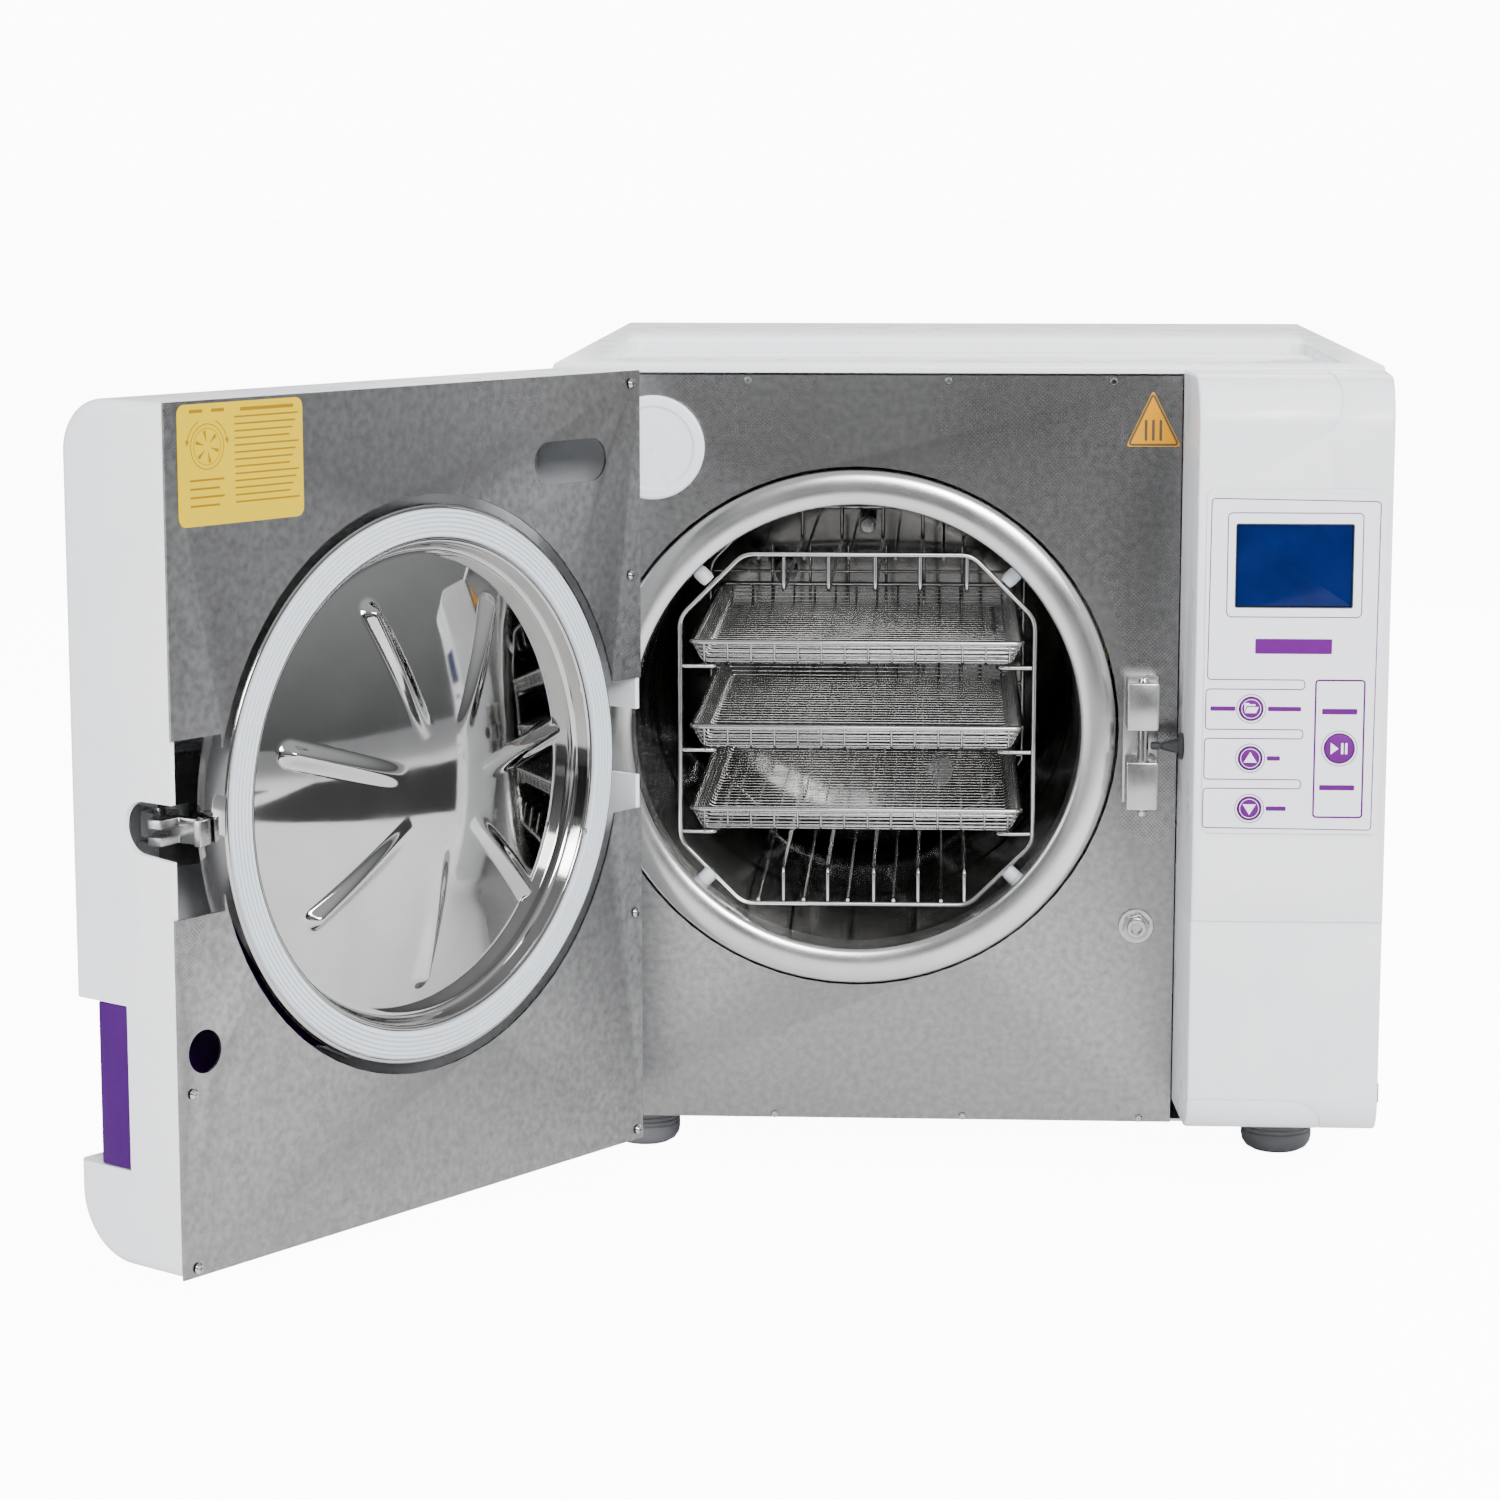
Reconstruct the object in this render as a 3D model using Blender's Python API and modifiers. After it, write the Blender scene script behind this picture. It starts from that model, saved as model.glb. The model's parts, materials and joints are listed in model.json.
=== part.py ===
"""Benchtop steam steriliser: a cabinet with a round pressure chamber, a side-hung door that carries
the sealing disc, a slide-out wire rack with three trays, and a control housing with membrane keys.

Metres, +Z up. Every cabinet piece is placed in the cabinet's own coordinates: x = 0 on the chamber
axis, y = 0 on the front face of the steel front panel and +y into the cabinet, z = 0 on the bench.
The door's pieces are placed as if the door were shut; the door pivot then swings them open.
"""

from math import cos, pi, radians, sin

import bmesh
import bpy
from mathutils import Matrix, Vector

GAP = 0.0003  # clearance between pieces that touch

# cabinet
LEFT, RIGHT = -0.1675, 0.287
BACK = 0.500
TOP = 0.450
BASE_Z = 0.0254  # underside of the base plate
SHEET = 0.0015
PANEL_RIGHT = 0.1775  # where the steel panel ends and the control housing starts
PANEL_TOP = 0.4435
LID_LOW = 0.4405  # lower edge of the moulded top cover
FOOT_RADIUS, FOOT_INSET, FOOT_Y = 0.020, 0.046, 0.045

# chamber
CHAMBER_Z = 0.248
CHAMBER_RADIUS = 0.1245
CHAMBER_WALL = 0.003
CHAMBER_DEPTH = 0.345
RING_RADIUS = 0.1438
RING_PROUD = 0.0057
RING_BACK = 0.022
PANEL_HOLE = 0.1456

# door, in the shut position
DOOR_LEFT, DOOR_RIGHT = -0.1655, 0.1755
DOOR_BACK, DOOR_FRONT = -0.008, -0.0815
DOOR_LOW, DOOR_TOP = 0.0303, 0.4497
DOOR_WALL = 0.003
COVER_ROUND = 0.006
HINGE_X, HINGE_Y = -0.1548, -0.0501
DOOR_OPEN = radians(125.5)
SEAL_Y = -0.0061  # face of the gasket when the door is shut
PLATE = 0.0012  # the inner skin's sheet
KNUCKLE_RADIUS, PIVOT_RADIUS = 0.0072, 0.004
KNUCKLE_LOW, KNUCKLE_HIGH = 0.236, 0.264
BEAM_LOW, BEAM_HIGH = 0.222, 0.278
BEAM_FRONT, BEAM_BACK = -0.062, -0.046
GRIP_LEFT, GRIP_LOW, GRIP_HIGH = 0.050, 0.0785, 0.1600
GRIP_FLOOR, GRIP_SIDE = -0.0650, -0.0435
GRIP_WALL = 0.003

# sealing disc, in the shut position
DISC_RADIUS, DISC_SHEET = 0.1422, 0.0031
DISC_FACE, DISC_BACK = -0.0078, -0.0280  # the rim's front and back
DOME_TOP, DOME_DROP, DOME_RADIUS = 0.0027, 0.0200, 0.117
SPINDLE_RADIUS, SPINDLE_START = 0.010, -0.0665

# control housing
HOUSING_FRONT = -0.077
HOUSING_LOW, HOUSING_TOP = 0.038, 0.4475
HOUSING_WALL = 0.003
SEAM_Z = 0.1566
DRAFT_LEFT, DRAFT_RIGHT = 0.0038, 0.003
SWITCH_PROUD, INLET_PROUD = 0.0005, 0.0035  # how far they stand out of the cabinet's box
SWITCH_Y, SWITCH_Z, SWITCH_HALF = -0.041, 0.0565, 0.0105
SWITCH_THICK = 0.011
MEMBRANE_Y = HOUSING_FRONT - GAP
MEMBRANE_FACE = MEMBRANE_Y - 0.0011
SCREEN = (0.2025, 0.3267, 0.2632, 0.3700)  # left, bottom, right, top
KEYS = {  # x, z, radius
    "start_key": (0.2586, 0.2511, 0.0079),
    "select_key": (0.2116, 0.2721, 0.0062),
    "up_key": (0.2116, 0.2455, 0.0062),
    "down_key": (0.2116, 0.2184, 0.0062),
}

# front fittings
FILTER_X, FILTER_Z, FILTER_RADIUS, FILTER_PROUD = -0.1123, 0.4038, 0.0285, 0.0058
DRAIN_X, DRAIN_Z, DRAIN_NUT, DRAIN_CAP = 0.1567, 0.1377, 0.0078, 0.0055

# latch
LATCH_Z = 0.2435
PIN_X, PIN_Y, PIN_RADIUS = 0.1576, -0.025, 0.003
HOOK_X, HOOK_Y = 0.143, -0.054
HOOK_RELEASED = radians(10)
RECEIVER_LEFT, RECEIVER_RIGHT = 0.1487, 0.1659
RECEIVER_LOW, RECEIVER_HIGH = 0.2083, 0.2785
PLUNGER_TIP = 0.1617

# rack and trays
RACK_Z, RACK_HALF, RACK_CHAMFER = 0.244, 0.099, 0.0355
RACK_FRONT, RACK_BACK = 0.018, 0.305
WIRE = 0.0015
RAIL_Z = (0.1852, 0.2318, 0.2795)
RAIL_X = 0.079
TRAY_FRONT, TRAY_BACK = 0.008, 0.298
TRAY_HEIGHT, TRAY_SHEET = 0.0145, 0.0012
TRAY_LOW_HALF, TRAY_HIGH_HALF = 0.086, 0.0925

# inside the cabinet and on its back
DECK = BASE_Z + SHEET + GAP  # top of the base plate
JACKET_RADIUS = 0.140
FAN_X, FAN_Z, FAN_RADIUS = 0.215, 0.355, 0.036
INLET_X, INLET_Z = 0.215, 0.075
INLET_HALF_X, INLET_HALF_Z = 0.014, 0.012
BOILER_X, BOILER_Y = 0.214, 0.350
VALVE_X, VALVE_Y, VALVE_Z = -0.110, 0.345, 0.373

OBJECT_NAME = "benchtop_autoclave"


# ---------------------------------------------------------------- scene and materials

def clear_scene():
    for item in list(bpy.data.objects):
        bpy.data.objects.remove(item, do_unlink=True)


def new_collection(name):
    group = bpy.data.collections.new(name)
    bpy.context.scene.collection.children.link(group)
    return group


clear_scene()
PARTS = new_collection(OBJECT_NAME)
CUTTERS = new_collection("cutters")


def material(name, color, roughness, metallic=0.0):
    made = bpy.data.materials.new(name)
    made.use_nodes = True
    shader = made.node_tree.nodes["Principled BSDF"]
    shader.inputs["Base Color"].default_value = (*color, 1.0)
    shader.inputs["Roughness"].default_value = roughness
    shader.inputs["Metallic"].default_value = metallic
    return made


WHITE = material("white_plastic", (0.80, 0.81, 0.83), 0.35)
STEEL = material("stainless_steel", (0.55, 0.55, 0.54), 0.30, 1.0)
POLISHED = material("polished_steel", (0.70, 0.70, 0.69), 0.10, 1.0)
ZINC = material("zinc_plated_steel", (0.50, 0.51, 0.52), 0.40, 1.0)
BRASS = material("brass", (0.72, 0.55, 0.25), 0.30, 1.0)
ALUMINIUM = material("aluminium", (0.62, 0.63, 0.65), 0.35, 1.0)
COPPER = material("copper", (0.70, 0.38, 0.24), 0.30, 1.0)
SILICONE = material("grey_silicone", (0.62, 0.66, 0.68), 0.55)
RUBBER = material("dark_rubber", (0.06, 0.065, 0.07), 0.70)
PURPLE = material("purple_plastic", (0.13, 0.012, 0.26), 0.35)
KEY_PURPLE = material("key_purple", (0.18, 0.03, 0.28), 0.40)
BLACK = material("black_plastic", (0.02, 0.02, 0.02), 0.45)
LCD_BLUE = material("display_blue", (0.01, 0.035, 0.17), 0.15)
GREEN = material("circuit_board", (0.02, 0.16, 0.08), 0.50)
FLEECE = material("insulation_fleece", (0.62, 0.58, 0.48), 0.95)
TANK = material("tank_plastic", (0.72, 0.75, 0.76), 0.45)


# ---------------------------------------------------------------- frames

def empty(name, parent, at, turn=0.0):
    frame = bpy.data.objects.new(name, None)
    PARTS.objects.link(frame)
    frame.parent = parent
    frame.location = at
    frame.rotation_euler = (0, 0, turn)
    return frame


def swing(x, y, angle):
    """A point of the shut door after the door has turned by this angle about its hinge."""
    dx, dy = x - HINGE_X, y - HINGE_Y
    return (
        HINGE_X + dx * cos(angle) - dy * sin(angle),
        HINGE_Y + dx * sin(angle) + dy * cos(angle),
    )


# The origin is the middle of the object's footprint, with the door open. The door's rounded front
# edge reaches furthest left, and the corner of its inner skin furthest forward.
FREE_EDGE = swing(DOOR_RIGHT - COVER_ROUND, DOOR_FRONT + COVER_ROUND, -DOOR_OPEN)
FREE_CORNER = swing(DOOR_RIGHT, DOOR_BACK, -DOOR_OPEN)
CENTRE_X = (FREE_EDGE[0] - COVER_ROUND + RIGHT + SWITCH_PROUD) / 2
CENTRE_Y = (FREE_CORNER[1] + BACK + INLET_PROUD) / 2

CABINET = empty("cabinet_frame", None, (-CENTRE_X, -CENTRE_Y, 0))
DOOR_PIVOT = empty("door_pivot", CABINET, (HINGE_X, HINGE_Y, 0), -DOOR_OPEN)
SHUT_DOOR = empty("shut_door_frame", DOOR_PIVOT, (-HINGE_X, -HINGE_Y, 0))


# ---------------------------------------------------------------- modelling helpers

def place(name, mesh, mat, parent, at=(0, 0, 0), smooth=None):
    item = bpy.data.objects.new(name, mesh)
    item.data.materials.append(mat)
    item.parent = parent
    item.location = at
    PARTS.objects.link(item)
    if smooth is not None:
        mesh.shade_smooth()
        mesh.set_sharp_from_angle(angle=radians(smooth))
    return item


def mesh_from(name, build):
    work = bmesh.new()
    build(work)
    mesh = bpy.data.meshes.new(name)
    work.to_mesh(mesh)
    work.free()
    return mesh


def box_mesh(name, low, high):
    low, high = Vector(low), Vector(high)
    size = high - low
    matrix = Matrix.Translation((low + high) / 2) @ Matrix.Diagonal((*size, 1))
    return mesh_from(name, lambda work: bmesh.ops.create_cube(work, size=1, matrix=matrix))


TURN_TO = {"X": Matrix.Rotation(pi / 2, 4, "Y"), "Y": Matrix.Rotation(-pi / 2, 4, "X"), "Z": Matrix()}


def rod_mesh(name, start, radius, length, axis="Z", segments=32, tip=None):
    """A cylinder, or a cone when tip is given, from start along +axis."""
    matrix = Matrix.Translation(start) @ TURN_TO[axis] @ Matrix.Translation((0, 0, length / 2))
    return mesh_from(name, lambda work: bmesh.ops.create_cone(
        work, cap_ends=True, segments=segments, radius1=radius,
        radius2=radius if tip is None else tip, depth=length, matrix=matrix))


def prism_mesh(name, outline, start, end, axis="Z"):
    """A flat outline, given as (a, b) points, pushed along an axis from start to end."""
    spot = {
        "X": lambda a, b, along: (along, a, b),
        "Y": lambda a, b, along: (a, along, b),
        "Z": lambda a, b, along: (a, b, along),
    }[axis]

    def build(work):
        face = work.faces.new([work.verts.new(spot(a, b, start)) for a, b in outline])
        grown = bmesh.ops.extrude_face_region(work, geom=[face])["geom"]
        moved = [v for v in grown if isinstance(v, bmesh.types.BMVert)]
        step = Vector(spot(0, 0, end)) - Vector(spot(0, 0, start))
        bmesh.ops.translate(work, verts=moved, vec=step)
        bmesh.ops.recalc_face_normals(work, faces=work.faces)

    return mesh_from(name, build)


def box(name, low, high, mat, parent=CABINET, bevel=0.0):
    item = place(name, box_mesh(name, low, high), mat, parent, smooth=30 if bevel else None)
    if bevel:
        round_edges(item, bevel)
    return item


def rod(name, start, radius, length, mat, axis="Z", parent=CABINET, segments=32, tip=None, bevel=0.0):
    mesh = rod_mesh(name, start, radius, length, axis, segments, tip)
    item = place(name, mesh, mat, parent, smooth=40)
    if bevel:
        round_edges(item, bevel)
    return item


def round_edges(item, width, segments=2):
    rounding = item.modifiers.new("rounded_edges", "BEVEL")
    rounding.width = width
    rounding.segments = segments
    rounding.limit_method = "ANGLE"
    rounding.angle_limit = radians(50)


def turned(name, profile, mat, at, axis="Y", parent=CABINET, steps=48, closed=True):
    """A profile of (radius, height) points, running down its outer side, turned about the axis."""
    mesh = bpy.data.meshes.new(name)
    points = [(radius, 0, height) for radius, height in profile]
    edges = [(i, i + 1) for i in range(len(points) - 1)]
    if closed:
        edges.append((len(points) - 1, 0))
    mesh.from_pydata(points, edges, [])
    item = place(name, mesh, mat, parent, at)
    # The profile's height runs along the chosen axis of the cabinet.
    item.rotation_euler = {"Z": (0, 0, 0), "Y": (-pi / 2, 0, 0), "X": (0, pi / 2, 0)}[axis]
    spin = item.modifiers.new("turned", "SCREW")
    spin.steps = spin.render_steps = steps
    spin.use_merge_vertices = True
    spin.merge_threshold = 1e-5
    spin.use_smooth_shade = True
    return item


def cut(item, mesh, operation="DIFFERENCE"):
    """Cuts the item with this mesh, or joins the mesh to it."""
    cutter = bpy.data.objects.new(item.name + "_cutter", mesh)
    cutter.parent = item.parent
    cutter.hide_render = True
    cutter.display_type = "WIRE"
    CUTTERS.objects.link(cutter)
    step = item.modifiers.new("cut" if operation == "DIFFERENCE" else "join", "BOOLEAN")
    step.operation = operation
    step.object = cutter


def join(item, mesh):
    cut(item, mesh, "UNION")


def cut_box(item, low, high):
    cut(item, box_mesh("cutter", low, high))


def cut_rod(item, start, radius, length, axis="Z", segments=32):
    cut(item, rod_mesh("cutter", start, radius, length, axis, segments))


def arc(centre_a, centre_b, radius, start, end, steps):
    """Points on a circle from one angle, in degrees, to another."""
    angles = [radians(start + (end - start) * i / steps) for i in range(steps + 1)]
    return [(centre_a + radius * cos(t), centre_b + radius * sin(t)) for t in angles]


def front_profile(back, front, low, high, top_radius, low_radius, steps=6):
    """The (y, z) outline of a shell that is rounded along its top and bottom front edges."""
    return [
        (back, low),
        *arc(front + low_radius, low + low_radius, low_radius, 270, 180, steps),
        *arc(front + top_radius, high - top_radius, top_radius, 180, 90, steps),
        (back, high),
    ]


# ---------------------------------------------------------------- cabinet shell

def base_plate():
    inset = 0.002
    low = (LEFT + inset, inset, BASE_Z)
    box("base_plate", low, (RIGHT - inset, BACK - inset, BASE_Z + SHEET), ZINC)


def front_panel():
    panel = box("front_panel", (LEFT, 0, BASE_Z), (PANEL_RIGHT, SHEET, PANEL_TOP), STEEL)
    cut_rod(panel, (0, -0.01, CHAMBER_Z), PANEL_HOLE, 0.03, "Y", 64)


def side_panels():
    low, high = BASE_Z, LID_LOW - GAP
    start, end = SHEET + GAP, BACK - SHEET - GAP
    box("left_side_panel", (LEFT, start, low), (LEFT + SHEET, end, high), WHITE)
    box("right_side_panel", (RIGHT - SHEET, start, low), (RIGHT, end, high), WHITE)


def rear_panel():
    low, high = BASE_Z, LID_LOW - GAP
    panel = box("rear_panel", (LEFT, BACK - SHEET, low), (RIGHT, BACK, high), ZINC)
    cut_rod(panel, (FAN_X, BACK - 0.02, FAN_Z), FAN_RADIUS, 0.04, "Y", 32)
    half_x, half_z = INLET_HALF_X + 0.0005, INLET_HALF_Z + 0.0005
    cut_box(panel, (INLET_X - half_x, BACK - 0.02, INLET_Z - half_z),
            (INLET_X + half_x, BACK + 0.02, INLET_Z + half_z))


def top_cover():
    """A moulded tray-top: a thin lid with turned-down edges and a sunk shelf."""
    wall, sunk_x, sunk_front, sunk_back, sunk = 0.003, 0.022, 0.016, 0.235, 0.006
    lid = box("top_cover", (LEFT, 0, LID_LOW), (RIGHT, BACK, TOP), WHITE, bevel=0.0025)
    cut_box(lid, (LEFT + wall, wall, LID_LOW - 0.01), (RIGHT - wall, BACK - wall, TOP - wall))
    cut_box(lid, (LEFT - wall, -wall, 0), (RIGHT + wall, wall + 0.001, PANEL_TOP + 0.0012))
    low = (LEFT + sunk_x, sunk_front, TOP - sunk)
    high = (RIGHT - sunk_x, sunk_back, TOP + 0.01)
    join(lid, box_mesh("shelf", (low[0] - wall, low[1] - wall, TOP - sunk - wall),
                       (high[0] + wall, high[1] + wall, TOP - 0.001)))
    cut_box(lid, low, high)


def feet():
    inner = LEFT + FOOT_INSET, RIGHT - FOOT_INSET
    rows = {"front": FOOT_Y, "rear": BACK - FOOT_Y}
    top = BASE_Z - GAP
    for row, y in rows.items():
        for side, x in zip(("left", "right"), inner):
            profile = [(0, top), (FOOT_RADIUS, top), (FOOT_RADIUS, 0.008),
                       (FOOT_RADIUS - 0.0025, 0.002), (FOOT_RADIUS - 0.006, 0), (0, 0)]
            turned(f"foot_{row}_{side}", profile, RUBBER, (x, y, 0), "Z", steps=24, closed=False)


# ---------------------------------------------------------------- chamber

def ring_profile():
    """The flange's section: a bulged polished face between the mouth and the outer edge."""
    face = RING_PROUD
    inner, outer = CHAMBER_RADIUS, RING_RADIUS
    middle, reach = (inner + outer) / 2, (outer - inner) / 2
    edge = 0.0032  # the face falls away by this much at its two edges
    bulge = [(middle + reach * cos(t), -face + edge * (1 - sin(t)))
             for t in (pi * i / 8 for i in range(9))]
    return bulge, inner, outer


def chamber():
    bulge, inner, outer = ring_profile()
    # The outer side runs from the back of the flange to its face.
    turned("chamber_flange", [(outer, RING_BACK)] + bulge + [(inner, RING_BACK)],
           POLISHED, (0, 0, CHAMBER_Z), steps=64)
    start = RING_BACK + GAP
    thick = CHAMBER_WALL
    back, dish = CHAMBER_DEPTH, 0.022
    inside = [(0, back), (inner * 0.5, back - dish * 0.25), (inner * 0.85, back - dish * 0.7),
              (inner, back - dish * 1.2), (inner, start)]
    outside = [(inner + thick, start), (inner + thick, back - dish * 1.1),
               (inner * 0.87, back - dish * 0.7 + thick * 1.2),
               (inner * 0.5, back - dish * 0.25 + thick), (0, back + thick)]
    turned("chamber_vessel", (inside + outside)[::-1], POLISHED, (0, 0, CHAMBER_Z),
           steps=48, closed=False)
    jacket_low, jacket_high = inner + thick + GAP, JACKET_RADIUS
    jacket_start, jacket_end = 0.026, 0.300
    turned("insulation_jacket", [(jacket_high, jacket_end), (jacket_high, jacket_start),
                                 (jacket_low, jacket_start), (jacket_low, jacket_end)],
           FLEECE, (0, 0, CHAMBER_Z), steps=48)


def chamber_cradle():
    """Two saddles on one foot that carry the chamber."""
    half, start, end, height, saddle, foot = 0.095, 0.060, 0.270, 0.150, 0.006, 0.003
    cradle = box("chamber_cradle", (-half, start, DECK), (half, end, height), ZINC)
    cut_rod(cradle, (0, 0, CHAMBER_Z), JACKET_RADIUS + GAP, 0.4, "Y", 64)
    cut_box(cradle, (-0.2, start + saddle, DECK + foot), (0.2, end - saddle, 0.2))


# ---------------------------------------------------------------- control housing

def tapered(mesh):
    """Both sides of the housing lean in towards its front."""
    depth = -HOUSING_FRONT
    for vertex in mesh.vertices:
        share = max(0.0, -vertex.co.y) / depth
        if vertex.co.x < (PANEL_RIGHT + RIGHT) / 2:
            vertex.co.x += DRAFT_LEFT * share
        else:
            vertex.co.x -= DRAFT_RIGHT * share
    return mesh


def housing_shell(name, low, high, front):
    left, wall = PANEL_RIGHT + 0.0006, HOUSING_WALL
    top_round, low_round = 0.026, 0.022
    outline = front_profile(-GAP, front, HOUSING_LOW, HOUSING_TOP, top_round, low_round)
    shell = place(name, tapered(prism_mesh(name, outline, left, RIGHT, "X")), WHITE, CABINET, smooth=35)
    round_edges(shell, 0.0015)
    hollow = front_profile(0.01, front + wall, HOUSING_LOW + wall, HOUSING_TOP - wall,
                           top_round - wall, low_round - wall)
    cut(shell, tapered(prism_mesh("cutter", hollow, left + wall, RIGHT - wall, "X")))
    if low > HOUSING_LOW:
        cut_box(shell, (0, -0.2, -0.1), (0.4, 0.1, low))
    if high < TOP:
        cut_box(shell, (0, -0.2, high), (0.4, 0.1, 1))
    return shell


def control_housing():
    housing = housing_shell("control_housing", SEAM_Z + GAP / 2, TOP, HOUSING_FRONT)
    # The window behind the membrane, and the hole for the lock plunger.
    cut_box(housing, (0.1905, -0.09, 0.2090), (0.2765, -0.06, 0.3850))
    cut_rod(housing, (0.16, PIN_Y, LATCH_Z), 0.0062, 0.04, "X", 24)
    fascia = housing_shell("lower_fascia", HOUSING_LOW, SEAM_Z - GAP / 2, HOUSING_FRONT + 0.0012)
    half, half_height = SWITCH_HALF + 0.0005, SWITCH_THICK / 2 + 0.001
    cut_box(fascia, (0.27, SWITCH_Y - half, SWITCH_Z - half_height),
            (0.30, SWITCH_Y + half, SWITCH_Z + half_height))


def membrane_and_keys():
    panel = box("membrane_panel", (0.1864, MEMBRANE_FACE, 0.2050), (0.2807, MEMBRANE_Y, 0.3892), WHITE)
    left, low, right, high = SCREEN
    margin = 0.001
    cut_box(panel, (left - margin, -0.1, low - margin), (right + margin, -0.05, high + margin))
    for x, z, radius in KEYS.values():
        cut_rod(panel, (x, -0.1, z), radius + 0.0004, 0.05, "Y", 32)
    for name, (x, z, radius) in KEYS.items():
        frame = empty(name + "_frame", CABINET, (x, MEMBRANE_FACE, z))
        rod(name, (0, -0.0004, 0), radius, 0.0024, KEY_PURPLE, "Y", frame, 32)
    box("display_module", (left, HOUSING_FRONT + 0.0002, low), (right, HOUSING_FRONT + 0.009, high),
        LCD_BLUE)
    box("control_board", (0.195, -0.055, 0.215), (0.272, -0.0534, 0.378), GREEN)


def power_switch():
    """A rocker in the right-hand side of the fascia, on an upright axis."""
    reach, tilt, face = SWITCH_HALF - 0.0006, 0.0012, 0.0048
    pivot_x = RIGHT + SWITCH_PROUD - face - tilt
    frame = empty("switch_pivot", CABINET, (pivot_x, SWITCH_Y, SWITCH_Z))
    back, lean, dip = -0.0045, 0.002, 0.0004
    outline = [(back, -reach + lean), (face + tilt, -reach), (face - dip, 0), (face, reach),
               (back, reach - lean)]
    mesh = prism_mesh("power_switch", outline, -SWITCH_THICK / 2, SWITCH_THICK / 2, "Z")
    place("power_switch", mesh, BLACK, frame)


# ---------------------------------------------------------------- front fittings

def front_fittings():
    """The bacterial filter's cap, and the drain's nut with its screw cap."""
    rod("bacterial_filter", (FILTER_X, -FILTER_PROUD, FILTER_Z), FILTER_RADIUS, FILTER_PROUD - GAP,
        WHITE, "Y", segments=40, bevel=0.0012)
    nut, cap = 0.006, 0.0095  # how far each stands out of the panel
    fitting = rod("drain_fitting", (DRAIN_X, -nut, DRAIN_Z), DRAIN_NUT, nut - GAP, ZINC, "Y", segments=6)
    join(fitting, rod_mesh("cap", (DRAIN_X, -cap, DRAIN_Z), DRAIN_CAP, 0.006, "Y", 24))


def latch_receiver():
    """Two blocks on one plate, with an upright pin between them for the hook."""
    lip = 0.001
    receiver = box("latch_receiver", (RECEIVER_LEFT - lip, -0.0035, RECEIVER_LOW),
                   (RECEIVER_RIGHT + lip, -GAP, RECEIVER_HIGH), STEEL)
    for low, high in ((RECEIVER_LOW, 0.2349), (0.2522, RECEIVER_HIGH)):
        join(receiver, box_mesh("block", (RECEIVER_LEFT, -0.030, low), (RECEIVER_RIGHT, -0.002, high)))
    cut_rod(receiver, (PIN_X, PIN_Y, 0.19), PIN_RADIUS + GAP, 0.11, "Z", 24)
    rod("receiver_pin", (PIN_X, PIN_Y, 0.2040), PIN_RADIUS, 0.0770, POLISHED, segments=24)


def lock_plunger():
    """The lock's pin: a thin tip on a cone, pushed out of the housing by the solenoid."""
    frame = empty("plunger_frame", CABINET, (PLUNGER_TIP, PIN_Y, LATCH_Z))
    profile = [(0, 0.046), (0.004, 0.046), (0.004, 0.019), (0.0045, 0.016), (0.0022, 0.006),
               (0.0022, 0.001), (0.0014, 0), (0, 0)]
    turned("lock_plunger", profile, BLACK, (0, 0, 0), "X", frame, 24, closed=False)
    half = 0.012
    solenoid = box("lock_solenoid", (0.196, PIN_Y - 0.013, LATCH_Z - half),
                   (0.234, PIN_Y + 0.013, LATCH_Z + half), ZINC)
    cut_rod(solenoid, (0.19, PIN_Y, LATCH_Z), 0.0046, 0.05, "X", 24)


# ---------------------------------------------------------------- door

def hinge():
    """The cabinet's bracket, with a knuckle between the beam's two, and the pin through all three."""
    foot_thick, half_web = 0.005, 0.004
    bracket = box("hinge_bracket", (DOOR_LEFT - 0.0005, -foot_thick, BEAM_LOW), (-0.1462, -GAP, BEAM_HIGH),
                  ZINC)
    join(bracket, box_mesh("web", (HINGE_X - half_web, HINGE_Y, KNUCKLE_LOW),
                           (HINGE_X + half_web, -0.002, KNUCKLE_HIGH)))
    join(bracket, rod_mesh("knuckle", (HINGE_X, HINGE_Y, KNUCKLE_LOW), KNUCKLE_RADIUS,
                           KNUCKLE_HIGH - KNUCKLE_LOW, "Z", 32))
    cut_rod(bracket, (HINGE_X, HINGE_Y, 0.2), PIVOT_RADIUS + 0.00015, 0.1, "Z", 32)
    rod("hinge_pin", (HINGE_X, HINGE_Y, BEAM_LOW - 0.002), PIVOT_RADIUS,
        BEAM_HIGH - BEAM_LOW + 0.004, POLISHED, parent=SHUT_DOOR, segments=32)


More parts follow.
